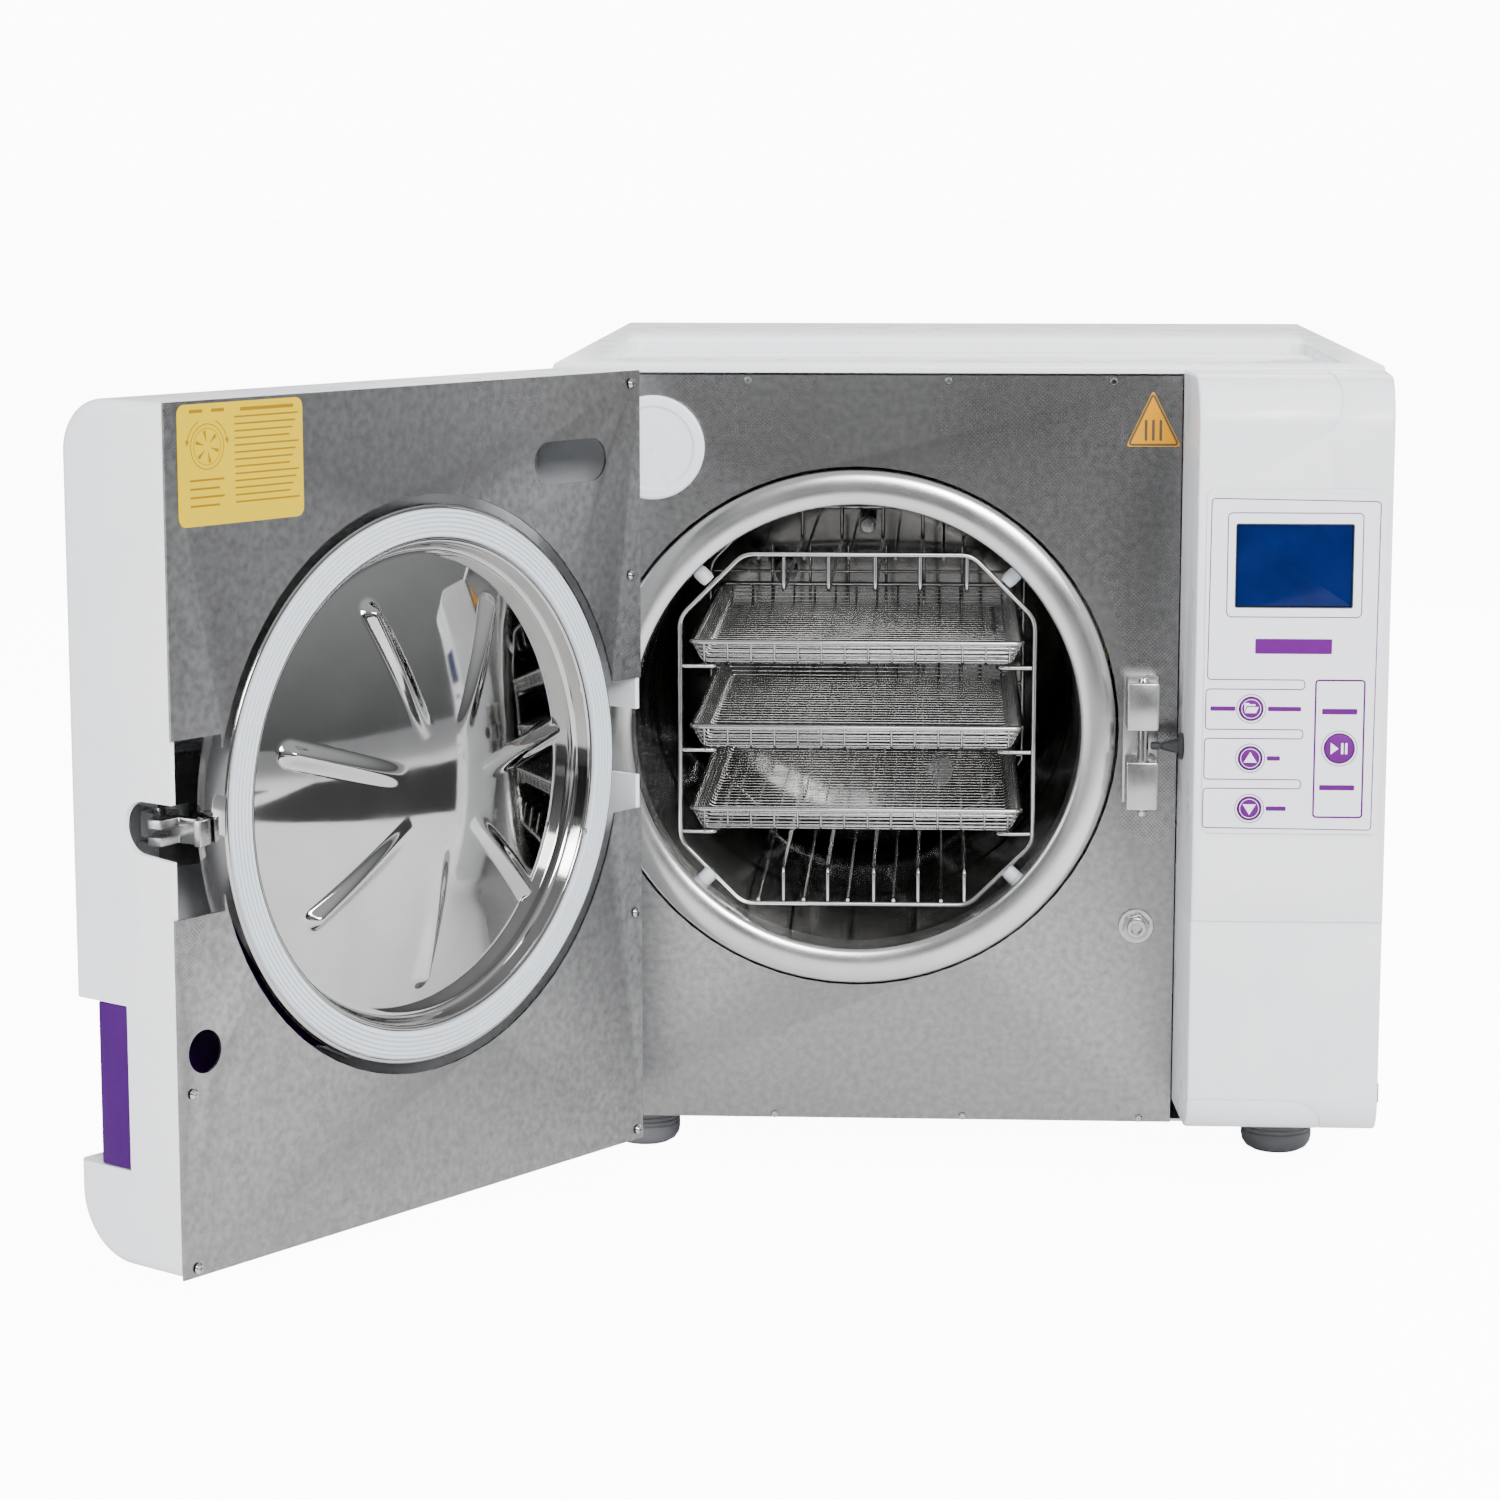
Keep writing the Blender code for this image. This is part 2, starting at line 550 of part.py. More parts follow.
def door_beam():
    """The bar that carries the disc: hinge knuckles at one end, the hook's clevis at the other."""
    beam = box("door_beam", (HINGE_X, BEAM_FRONT, BEAM_LOW), (0.150, BEAM_BACK, BEAM_HIGH), STEEL,
               SHUT_DOOR)
    join(beam, rod_mesh("knuckle", (HINGE_X, HINGE_Y, BEAM_LOW), KNUCKLE_RADIUS,
                        BEAM_HIGH - BEAM_LOW, "Z", 32))
    # Room for the fixed knuckle and its web at every angle of the door.
    web_reach = 0.0135
    cut_rod(beam, (HINGE_X, HINGE_Y, KNUCKLE_LOW - GAP), web_reach,
            KNUCKLE_HIGH - KNUCKLE_LOW + 2 * GAP, "Z", 32)
    cut_rod(beam, (HINGE_X, HINGE_Y, 0.2), PIVOT_RADIUS + GAP, 0.1, "Z", 32)
    cut_box(beam, (0.130, -0.07, LATCH_Z - 0.009), (0.16, -0.03, LATCH_Z + 0.009))
    join(beam, rod_mesh("hook_pin", (HOOK_X, HOOK_Y, LATCH_Z - 0.012), 0.003, 0.024, "Z", 24))
    cut_rod(beam, (0, -0.1, CHAMBER_Z), SPINDLE_RADIUS + 0.0005, 0.08, "Y", 32)
    end = DOME_TOP - DISC_SHEET - 0.0009
    rod("adjusting_spindle", (0, SPINDLE_START, CHAMBER_Z), SPINDLE_RADIUS, end - SPINDLE_START,
        POLISHED, "Y", SHUT_DOOR, 32)


def latch_hook():
    """The claw that reaches behind the receiver's pin; it is modelled released."""
    frame = empty("hook_pivot", SHUT_DOOR, (HOOK_X, HOOK_Y, LATCH_Z), HOOK_RELEASED)
    outline = [(-6, -6), (6, -6), (9, 6), (24, 12), (24, 20), (11, 21), (11, 32.8), (15.5, 32.8),
               (15.5, 37), (7, 37), (7, 18), (-6, 8)]
    mesh = prism_mesh("latch_hook", [(x / 1000, y / 1000) for x, y in outline], -0.0065, 0.0065, "Z")
    hook = place("latch_hook", mesh, ZINC, frame)
    cut_rod(hook, (0, 0, -0.02), 0.00315, 0.04, "Z", 24)


def door_plates():
    """The inner skin: an upper and a lower sheet, parted by the openings for the hinge and the latch."""
    disc_hole, latch_side = 0.1475, 0.1435
    for name, low, high in (("upper_door_plate", 0.2850, DOOR_TOP), ("lower_door_plate", DOOR_LOW, 0.2140)):
        plate = box(name, (DOOR_LEFT, DOOR_BACK - PLATE, low), (DOOR_RIGHT, DOOR_BACK, high), STEEL,
                    SHUT_DOOR)
        cut_rod(plate, (0, -0.03, CHAMBER_Z), disc_hole, 0.05, "Y", 64)
        if name == "lower_door_plate":
            cut_box(plate, (latch_side, -0.03, 0.2060), (0.2, 0.0, 0.22))
            drain_clear = 0.0106
            cut_rod(plate, (0.1585, -0.03, 0.1400), drain_clear, 0.05, "Y", 32)
        else:
            cut_box(plate, (latch_side, -0.03, 0.28), (0.2, 0.0, 0.2915))
            slot_x, slot_z, half, radius = -0.1095, 0.4047, 0.0172, 0.0112
            outline = arc(slot_x + half, slot_z, radius, -90, 90, 10)
            outline += arc(slot_x - half, slot_z, radius, 90, 270, 10)
            cut(plate, prism_mesh("cutter", outline, -0.03, 0.0, "Y"))


def door_cover():
    """A moulded shell, open at the back, with a sunk grip at the free edge."""
    back, front, wall = DOOR_BACK - PLATE - GAP, DOOR_FRONT, DOOR_WALL
    top_round, low_round, steps = 0.026, 0.034, 7
    outline = front_profile(0.004, front, DOOR_LOW, DOOR_TOP, top_round, low_round, steps)
    cover = place("door_cover", prism_mesh("door_cover", outline, DOOR_LEFT, DOOR_RIGHT, "X"), WHITE,
                  SHUT_DOOR, smooth=35)
    round_edges(cover, COVER_ROUND, 3)
    hollow = front_profile(0.02, front + wall, DOOR_LOW + wall, DOOR_TOP - wall,
                           top_round - wall, low_round - wall, steps)
    cut(cover, prism_mesh("cutter", hollow, DOOR_LEFT + wall, DOOR_RIGHT - wall, "X"))
    cut_box(cover, (-0.3, back, 0), (0.3, 0.1, 0.5))
    # The grip: a pocket across the front, open at the free side.
    cut_box(cover, (GRIP_LEFT, -0.2, GRIP_LOW), (0.3, GRIP_SIDE, GRIP_HIGH))
    # The latch's notch in the free side, with a rounded end.
    low, high, deep = 0.2350, 0.2610, -0.0400
    notch = [(0.01, low - 0.003), *arc(deep + 0.011, (low + high) / 2, (high - low) / 2, 270, 90, 8),
             (0.01, high)]
    cut(cover, prism_mesh("cutter", notch, 0.16, 0.19, "X"))
    # The hinge web's slot in the hinge side.
    cut_box(cover, (-0.2, -0.0690, KNUCKLE_LOW - 0.004), (-0.155, 0.1, KNUCKLE_HIGH + 0.004))


def handle_insert():
    """The coloured liner of the grip: a floor, a back wall and a closed free side."""
    low, high = GRIP_LOW + GAP, GRIP_HIGH - GAP
    right = DOOR_RIGHT - 0.0008
    insert = box("handle_insert", (GRIP_LEFT + GAP, GRIP_FLOOR, low), (right, GRIP_SIDE - GAP, high),
                 PURPLE, SHUT_DOOR)
    wall = GRIP_WALL
    cut_box(insert, (GRIP_LEFT + wall, GRIP_FLOOR + wall, low + wall), (right - wall, 0.0, high - wall))


def sealing_disc():
    """A domed disc whose rim holds the gasket; it turns on the spindle's thread to adjust the seal."""
    frame = empty("disc_pivot", SHUT_DOOR, (0, 0, CHAMBER_Z))
    groove_low, groove_high, floor, groove_back = 0.1252, 0.1400, -0.0123, -0.0155
    edge = DOME_TOP - DOME_DROP
    dome = [(radius, DOME_TOP - DOME_DROP * (radius / DOME_RADIUS) ** 2)
            for radius in (DOME_RADIUS * i / 6 for i in range(7))]
    wall = [(0.1205, edge + 0.0004), (0.1220, edge + 0.0026), (0.1225, DISC_FACE)]
    groove = [(groove_low - 0.0004, DISC_FACE), (groove_low, floor), (groove_high, floor),
              (groove_high + 0.0003, DISC_FACE)]
    skirt = [(DISC_RADIUS, DISC_FACE), (DISC_RADIUS, DISC_BACK), (DISC_RADIUS - DISC_SHEET, DISC_BACK),
             (DISC_RADIUS - DISC_SHEET, groove_back)]
    under_wall = [(0.1258, groove_back), (0.1250, edge - 0.0010), (0.1225, edge - DISC_SHEET)]
    under_dome = [(radius, y - DISC_SHEET) for radius, y in dome[::-1]]
    profile = dome + wall + groove + skirt + under_wall + under_dome
    turned("sealing_disc", profile, POLISHED, (0, 0, 0), "Y", frame, 64, closed=False)
    low, high, root, chamfer = 0.1256, 0.1398, -0.0120, 0.0006
    turned("door_gasket", [(high, root), (low, root), (low, SEAL_Y - chamfer), (low + 0.0008, SEAL_Y),
                           (high - 0.0008, SEAL_Y), (high, SEAL_Y - chamfer)],
           SILICONE, (0, 0, 0), "Y", frame, 64)


def door():
    hinge()
    door_beam()
    latch_hook()
    door_plates()
    door_cover()
    handle_insert()
    sealing_disc()


# ---------------------------------------------------------------- rack and trays

def wire(name, points, radius, parent, cyclic=False):
    data = bpy.data.curves.new(name, "CURVE")
    data.dimensions = "3D"
    data.bevel_depth = radius
    data.bevel_resolution = 2
    data.use_fill_caps = True
    line = data.splines.new("POLY")
    line.points.add(len(points) - 1)
    for spot, point in zip(line.points, points):
        spot.co = (*point, 1)
    line.use_cyclic_u = cyclic
    item = bpy.data.objects.new(name, data)
    item.data.materials.append(STEEL)
    item.parent = parent
    PARTS.objects.link(item)
    return item


def solid_of(curve_item):
    """The curve as a closed mesh, its caps welded on, so that a Boolean can join it."""
    graph = bpy.context.evaluated_depsgraph_get()
    mesh = bpy.data.meshes.new_from_object(curve_item.evaluated_get(graph))
    work = bmesh.new()
    work.from_mesh(mesh)
    bmesh.ops.remove_doubles(work, verts=work.verts, dist=1e-6)
    work.to_mesh(mesh)
    work.free()
    bpy.data.objects.remove(curve_item, do_unlink=True)
    return mesh


def octagon(y):
    half, short = RACK_HALF, RACK_HALF - RACK_CHAMFER
    corners = [(half, short), (short, half), (-short, half), (-half, short),
               (-half, -short), (-short, -half), (short, -half), (half, -short)]
    return [(x, y, RACK_Z + z) for x, z in corners]


def rack():
    frame = empty("rack_frame", CABINET, (0, 0, 0))
    wire("rack_front_frame", octagon(RACK_FRONT), WIRE, frame, cyclic=True)
    wire("rack_rear_frame", octagon(RACK_BACK), WIRE, frame, cyclic=True)
    # Each side is three tray rails on one upright wire at each end.
    start, end = RACK_FRONT + 2 * WIRE + GAP, RACK_BACK - 2 * WIRE - GAP
    low, high = RAIL_Z[0] - 0.003, RAIL_Z[-1] + 0.012
    for side, sign in (("left", -1), ("right", 1)):
        outer, inner = sign * RACK_HALF, sign * RAIL_X
        front_upright = solid_of(wire("rail", [(outer, start, low), (outer, start, high)], WIRE, None))
        rear_upright = solid_of(wire("rail", [(outer, end, low), (outer, end, high)], WIRE, None))
        item = place(f"rack_{side}_side", front_upright, STEEL, frame, smooth=60)
        join(item, rear_upright)
        for z in RAIL_Z:
            path = [(outer, start, z), (inner, start, z), (inner, end, z), (outer, end, z)]
            join(item, solid_of(wire("rail", path, WIRE * 0.99, None)))
    return frame


def trays(rack_frame):
    """Three shallow trays with leaning sides, each resting on a pair of rails."""
    for name, rail in zip(("lower_tray", "middle_tray", "upper_tray"), RAIL_Z):
        frame = empty(name + "_frame", rack_frame, (0, 0, rail + WIRE + GAP))
        item = place(name, tray_mesh(name, 0.0, TRAY_HEIGHT, 0.0), STEEL, frame)
        cut(item, tray_mesh("cutter", TRAY_SHEET, TRAY_HEIGHT + 0.004, TRAY_SHEET))


def tray_mesh(name, low, high, inset):
    """A block whose sides and ends lean outwards towards the top."""
    spread = TRAY_HIGH_HALF - TRAY_LOW_HALF

    def build_block(work):
        bmesh.ops.create_cube(work, size=1)
        for vertex in work.verts:
            z = low if vertex.co.z < 0 else high
            lean = spread / TRAY_HEIGHT * z - inset
            vertex.co.x = (TRAY_LOW_HALF + lean) * (1 if vertex.co.x > 0 else -1)
            vertex.co.y = TRAY_FRONT + spread - lean if vertex.co.y < 0 else TRAY_BACK - spread + lean
            vertex.co.z = z

    return mesh_from(name, build_block)


# ---------------------------------------------------------------- inside the cabinet

def inside():
    """The works behind the panels: boiler, pumps, valves, supply, tanks and condenser."""
    right = RIGHT - 0.006
    boiler = rod("steam_generator", (BOILER_X, BOILER_Y, DECK), 0.045, 0.115, POLISHED, bevel=0.004)
    join(boiler, rod_mesh("outlet", (BOILER_X, BOILER_Y, DECK + 0.11), 0.006, 0.025, "Z", 16))
    pump = box("vacuum_pump", (0.155, 0.130, DECK), (right, 0.270, DECK + 0.085), ALUMINIUM, bevel=0.004)
    join(pump, rod_mesh("motor", (BOILER_X, 0.150, DECK + 0.070), 0.034, 0.110, "Y", 32))
    water = rod("water_pump", (0.190, 0.030, DECK + 0.026), 0.024, 0.070, BLACK, "Y", segments=24)
    join(water, box_mesh("pump_foot", (0.172, 0.038, DECK), (0.208, 0.090, DECK + 0.010)))
    valves = box("valve_block", (0.150, 0.300, 0.185), (0.180, 0.440, 0.210), BRASS)
    first_coil, coil_step = 0.318, 0.035
    for i in range(4):
        join(valves, rod_mesh("coil", (0.165, first_coil + coil_step * i, 0.205), 0.011, 0.035, "Z", 20))
    box("power_supply", (0.190, 0.060, 0.225), (right, 0.250, 0.290), ALUMINIUM, bevel=0.002)
    box("clean_water_tank", (LEFT + 0.006, 0.385, DECK), (-0.006, 0.492, 0.430), TANK, bevel=0.006)
    box("waste_water_tank", (0.000, 0.385, DECK), (0.142, 0.492, 0.430), TANK, bevel=0.006)
    box("condenser", (0.160, 0.420, 0.300), (0.270, 0.462, 0.410), COPPER)
    valve = rod("safety_valve", (VALVE_X, VALVE_Y, VALVE_Z), 0.009, 0.050, BRASS, segments=24)
    join(valve, rod_mesh("hex", (VALVE_X, VALVE_Y, VALVE_Z + 0.010), 0.013, 0.010, "Z", 6))


def cooling_fan():
    half, front, back, hub_radius = 0.040, 0.470, 0.4975, 0.014
    frame = box("fan_frame", (FAN_X - half, front, FAN_Z - half), (FAN_X + half, back, FAN_Z + half), BLACK)
    cut_rod(frame, (FAN_X, front - 0.01, FAN_Z), FAN_RADIUS + 0.001, 0.05, "Y", 40)
    hub = empty("fan_axle", CABINET, (FAN_X, 0.484, FAN_Z))
    blades, outline = 7, []
    for i in range(blades):
        turn = 360 * i / blades
        outline += arc(0, 0, hub_radius, turn, turn + 18, 2)
        outline += arc(0, 0, FAN_RADIUS - 0.001, turn + 20, turn + 44, 4)
    place("fan_rotor", prism_mesh("fan_rotor", outline, -0.008, 0.008, "Y"), BLACK, hub)


def mains_inlet():
    flange_half_x, flange_half_z, wall_x, wall_z = 0.025, 0.016, 0.0025, 0.0035
    inlet = box("mains_inlet", (INLET_X - INLET_HALF_X, 0.478, INLET_Z - INLET_HALF_Z),
                (INLET_X + INLET_HALF_X, BACK + 0.001, INLET_Z + INLET_HALF_Z), BLACK)
    join(inlet, box_mesh("flange", (INLET_X - flange_half_x, BACK + GAP, INLET_Z - flange_half_z),
                         (INLET_X + flange_half_x, BACK + INLET_PROUD, INLET_Z + flange_half_z)))
    half_x, half_z = INLET_HALF_X - wall_x, INLET_HALF_Z - wall_z
    cut_box(inlet, (INLET_X - half_x, 0.482, INLET_Z - half_z), (INLET_X + half_x, 0.6, INLET_Z + half_z))


# ---------------------------------------------------------------- the whole object

def build():
    base_plate()
    front_panel()
    side_panels()
    rear_panel()
    top_cover()
    feet()
    chamber()
    chamber_cradle()
    control_housing()
    membrane_and_keys()
    power_switch()
    front_fittings()
    latch_receiver()
    lock_plunger()
    door()
    trays(rack())
    inside()
    cooling_fan()
    mains_inlet()


build()
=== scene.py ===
# %% [markdown]
# # A benchtop steam steriliser, dressed over its frame
#
# The machine is a white cabinet with a round steel pressure chamber, a side-hung door that carries
# the sealing disc, a wire rack with three trays, and a control housing with a membrane of keys.
# The frame already holds every solid at its true size and in its true place. Each step below takes
# one piece or one finish, says what it is on the real machine, and makes it in the most direct
# way. Some solids keep their shape and only get a finish. Rounded, wired or pressed pieces are
# made again with more detail, and the solid they stand for is hidden.

# %% Load the fixed frame
import json
from math import cos, hypot, pi, radians, sin

import bmesh
import bpy
from mathutils import Matrix, Vector


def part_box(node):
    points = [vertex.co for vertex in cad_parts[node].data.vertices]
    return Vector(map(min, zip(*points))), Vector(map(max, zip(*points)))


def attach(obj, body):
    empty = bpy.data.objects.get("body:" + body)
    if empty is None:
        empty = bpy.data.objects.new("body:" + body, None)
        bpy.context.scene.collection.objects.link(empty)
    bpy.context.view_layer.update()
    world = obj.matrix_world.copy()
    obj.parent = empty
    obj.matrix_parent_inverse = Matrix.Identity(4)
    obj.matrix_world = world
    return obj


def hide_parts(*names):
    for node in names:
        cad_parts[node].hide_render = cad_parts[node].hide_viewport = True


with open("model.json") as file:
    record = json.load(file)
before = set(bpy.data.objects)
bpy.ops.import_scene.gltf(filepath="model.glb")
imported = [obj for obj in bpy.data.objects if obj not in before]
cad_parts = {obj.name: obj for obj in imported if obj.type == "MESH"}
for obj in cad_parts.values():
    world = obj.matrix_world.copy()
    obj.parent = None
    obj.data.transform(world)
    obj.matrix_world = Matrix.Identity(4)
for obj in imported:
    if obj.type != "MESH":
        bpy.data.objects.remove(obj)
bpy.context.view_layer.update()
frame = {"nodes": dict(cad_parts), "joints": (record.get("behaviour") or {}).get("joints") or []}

joints = {joint["name"]: joint for joint in frame["joints"]}

# %% [markdown]
# ## Two working frames
#
# It is far easier to model a door while it is shut and square to the axes. So every piece is made
# in millimetres in the cabinet's own coordinates: x = 0 on the chamber's axis, y = 0 on the face
# of the steel panel, z = 0 on the bench. `CABINET` moves such a mesh to its real place, in metres.
# `DOOR` does the same and then swings the mesh open about the hinge, as the frame's door is.

# %% The two frames, measured from the solids and the hinge joint
MM = 0.001
ring_low, ring_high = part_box("chamber_flange")
AXIS_X = (ring_low.x + ring_high.x) / 2
AXIS_Z = (ring_low.z + ring_high.z) / 2
PANEL_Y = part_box("front_panel")[0].y
CABINET = Matrix.Translation((AXIS_X, PANEL_Y, 0)) @ Matrix.Scale(MM, 4)

HINGE = Vector(joints["door_hinge"]["pos_m"])
OPEN = radians(joints["door_hinge"]["range_deg"][1])
SWING = Matrix.Translation(HINGE) @ Matrix.Rotation(-OPEN, 4, "Z") @ Matrix.Translation(-HINGE)
DOOR = SWING @ CABINET
MID_Z = AXIS_Z / MM  # height of the chamber's axis, in millimetres
print(f"chamber axis at x {AXIS_X:.4f}, z {AXIS_Z:.4f}; door open by {OPEN:.3f} rad")

# %% [markdown]
# ## Camera, floor and light
#
# A long lens from a little above the machine keeps its upright edges nearly parallel. The light is
# one big soft box overhead, one on each side, one in front, one behind, and a small one above the
# lens that reaches into the chamber. Polished steel is a mirror, so it needs something dark to
# show its shape: a few dark cards stand and lie in front of the machine, seen by reflections only.

# %% The camera
camera_data = bpy.data.cameras.new("studio_camera")
camera_data.lens = 89.95
camera_data.sensor_width = 36.0
camera = bpy.data.objects.new("studio_camera", camera_data)
camera.location = (AXIS_X + 0.04578, PANEL_Y - 2.05833, AXIS_Z + 0.31485)
camera.rotation_euler = (pi / 2 - 0.1576, 0, 0.0508)
bpy.context.scene.collection.objects.link(camera)
bpy.context.scene.camera = camera
print("camera at", [round(v, 3) for v in camera.location])


# %% Soft boxes and dark cards
def link_to_scene(item):
    bpy.context.scene.collection.objects.link(item)
    return item


def aim(item, place, target):
    item.location = place
    item.rotation_euler = (Vector(target) - Vector(place)).to_track_quat("-Z", "Y").to_euler()


def soft_box(name, place, target, size, power, mirrored=True):
    lamp = bpy.data.lights.new(name, "AREA")
    lamp.shape = "RECTANGLE"
    lamp.size, lamp.size_y = size
    lamp.energy = power
    item = link_to_scene(bpy.data.objects.new(name, lamp))
    item.visible_glossy = mirrored
    aim(item, place, target)


soft_box("overhead_box", (0.1, -0.6, 2.0), (0, -0.1, 0.2), (2.0, 1.8), 32, mirrored=False)
soft_box("left_box", (-2.3, -1.5, 1.1), (0, -0.1, 0.25), (1.2, 1.6), 60)
soft_box("front_box", (1.1, -3.0, 1.6), (0, 0, 0.25), (1.2, 0.9), 102)
soft_box("right_box", (2.3, -0.4, 1.6), (0, 0, 0.25), (2.2, 1.8), 62, mirrored=False)
soft_box("lens_box", (0.25, -2.3, 1.35), (0, 0.1, 0.25), (0.7, 0.5), 15)
soft_box("rear_box", (0.3, 2.4, 1.5), (0, 0.2, 0.25), (2.0, 1.2), 34)


def flat_card(name, place, target, size, material):
    mesh = bpy.data.meshes.new(name)
    wide, high = size[0] / 2, size[1] / 2
    corners = [(-wide, -high, 0), (wide, -high, 0), (wide, high, 0), (-wide, high, 0)]
    mesh.from_pydata(corners, [], [(0, 1, 2, 3)])
    mesh.materials.append(material)
    card = link_to_scene(bpy.data.objects.new(name, mesh))
    aim(card, place, target)
    return card


def plain_matt(name, colour, roughness):
    made = bpy.data.materials.new(name)
    made.use_nodes = True
    shader = made.node_tree.nodes["Principled BSDF"]
    shader.inputs["Base Color"].default_value = (*colour, 1)
    shader.inputs["Roughness"].default_value = roughness
    return made


studio_black = plain_matt("studio_black", (0.012, 0.012, 0.014), 0.9)
cards = (
    ("card_low", (0.55, -2.6, 0.25), (0.0, 0.0, 0.25), (0.75, 1.1)),
    ("card_left", (-1.15, -2.9, 0.9), (0.0, 0.0, 0.25), (0.45, 1.3)),
    ("card_right", (1.45, -0.35, 0.012), (1.45, -0.35, 1.0), (1.3, 1.5)),
    ("card_front", (0.62, -2.45, 0.012), (0.62, -2.45, 1.0), (2.1, 2.3)),
)
for name, place, target, size in cards:
    card = flat_card(name, place, target, size, studio_black)
    card.visible_camera = card.visible_diffuse = card.visible_shadow = False

pale_floor = plain_matt("studio_floor", (0.80, 0.80, 0.81), 0.6)
flat_card("studio_floor", (0, 0, 0), (0, 0, -1), (60, 60), pale_floor)
print(len(cards), "dark cards and a pale floor")

# %% [markdown]
# The camera sees floor and room as one even white, so both add light to what it sees directly.
# Everything else is lit by a room that is dim at eye level and brighter overhead, which gives
# upright steel its darker middle.

# %% The room, and the even white behind the machine
PAPER_WHITE = 12.0


def only_seen_directly(tree, value):
    """The value for rays from the camera, and none for light and reflections."""
    seen = tree.nodes.new("ShaderNodeLightPath").outputs["Is Camera Ray"]
    product = tree.nodes.new("ShaderNodeMath")
    product.operation = "MULTIPLY"
    product.inputs[1].default_value = value
    tree.links.new(seen, product.inputs[0])
    return product.outputs[0]


floor_tree = pale_floor.node_tree
floor_shader = floor_tree.nodes["Principled BSDF"]
floor_shader.inputs["Emission Color"].default_value = (1, 1, 1, 1)
floor_tree.links.new(only_seen_directly(floor_tree, PAPER_WHITE - 1.0),
                     floor_shader.inputs["Emission Strength"])

room = bpy.data.worlds.new("studio_room")
bpy.context.scene.world = room
room.use_nodes = True
room_tree = room.node_tree
background = room_tree.nodes["Background"]
direction = room_tree.nodes.new("ShaderNodeTexCoord").outputs["Generated"]
split = room_tree.nodes.new("ShaderNodeSeparateXYZ")
ramp = room_tree.nodes.new("ShaderNodeValToRGB")
room_tree.links.new(direction, split.inputs["Vector"])
room_tree.links.new(split.outputs["Z"], ramp.inputs["Fac"])
ramp.color_ramp.elements[0].color = (0.17, 0.174, 0.18, 1)
ramp.color_ramp.elements[1].position = 0.75
ramp.color_ramp.elements[1].color = (0.75, 0.765, 0.79, 1)
brighter = room_tree.nodes.new("ShaderNodeMix")
brighter.data_type = "RGBA"
room_tree.links.new(only_seen_directly(room_tree, 1.0), brighter.inputs[0])
room_tree.links.new(ramp.outputs["Color"], brighter.inputs[6])
brighter.inputs[7].default_value = (PAPER_WHITE,) * 3 + (1,)
room_tree.links.new(brighter.outputs[2], background.inputs["Color"])
background.inputs["Strength"].default_value = 1.0
print("room ready")

# %% [markdown]
# ## Finishes
#
# No surface of a real machine is one flat colour. Moulded plastic has a fine pebble and a slow
# drift in shade, sheet steel has a rolled linen emboss or the lines of its grinding, and every
# handled face carries faint smears that change its gloss. Each of these is a pattern that many
# materials share, so each is made once as a node group that puts out heights and masks. A material
# then places the groups with its own sizes and keeps its own Principled shader.
#
# All patterns read Object coordinates scaled to millimetres. The door stands open at an angle, so
# the finishes of the door first turn these coordinates back, which lays the pattern square on it.

# %% Small tools for building node trees


def add(tree, kind, inputs=(), **settings):
    node = tree.nodes.new(kind)
    for key, value in settings.items():
        setattr(node, key, value)
    for socket, value in dict(inputs).items():
        if isinstance(value, bpy.types.NodeSocket):
            tree.links.new(value, node.inputs[socket])
        else:
            node.inputs[socket].default_value = value
    return node


def maths(tree, operation, first, second=0.0):
    return add(tree, "ShaderNodeMath", {0: first, 1: second}, operation=operation).outputs[0]


def stretch(tree, vector, scale):
    inputs = {"Vector": vector, "Scale": scale}
    return add(tree, "ShaderNodeMapping", inputs).outputs["Vector"]


def noise(tree, vector, scale, detail=2.0):
    inputs = {"Vector": vector, "Scale": scale, "Detail": detail}
    return add(tree, "ShaderNodeTexNoise", inputs).outputs["Fac"]


def spread(tree, value, low, high, to_low=0.0, to_high=1.0):
    inputs = {"Value": value, "From Min": low, "From Max": high, "To Min": to_low,
              "To Max": to_high}
    return add(tree, "ShaderNodeMapRange", inputs).outputs["Result"]


def new_group(name, sizes, results):
    """A shader node group with a Vector and some sizes as inputs, and values as outputs."""
    tree = bpy.data.node_groups.new(name, "ShaderNodeTree")
    tree.interface.new_socket("Vector", in_out="INPUT", socket_type="NodeSocketVector")
    for label, value in sizes.items():
        socket = tree.interface.new_socket(label, in_out="INPUT", socket_type="NodeSocketFloat")
        socket.default_value = value
    for label in results:
        tree.interface.new_socket(label, in_out="OUTPUT", socket_type="NodeSocketFloat")
    return tree, tree.nodes.new("NodeGroupInput").outputs, tree.nodes.new("NodeGroupOutput").inputs


def send(tree, targets, **values):
    for label, socket in values.items():
        tree.links.new(socket, targets[label])


# %% Moulded skin: a fine pebble with a slow swell under it
tree, given, result = new_group("moulded_skin", {"Size": 0.8}, ("Height", "Tint"))
pebble = noise(tree, given["Vector"], maths(tree, "DIVIDE", 1.0, given["Size"]), 3)
swell = noise(tree, given["Vector"], 0.012, 2)
height = maths(tree, "MULTIPLY_ADD", swell, 0.6)
tree.links.new(pebble, height.node.inputs[2])
send(tree, result, Height=height,
     Tint=spread(tree, noise(tree, given["Vector"], 0.02, 4), 0.3, 0.7))
moulded_skin = tree

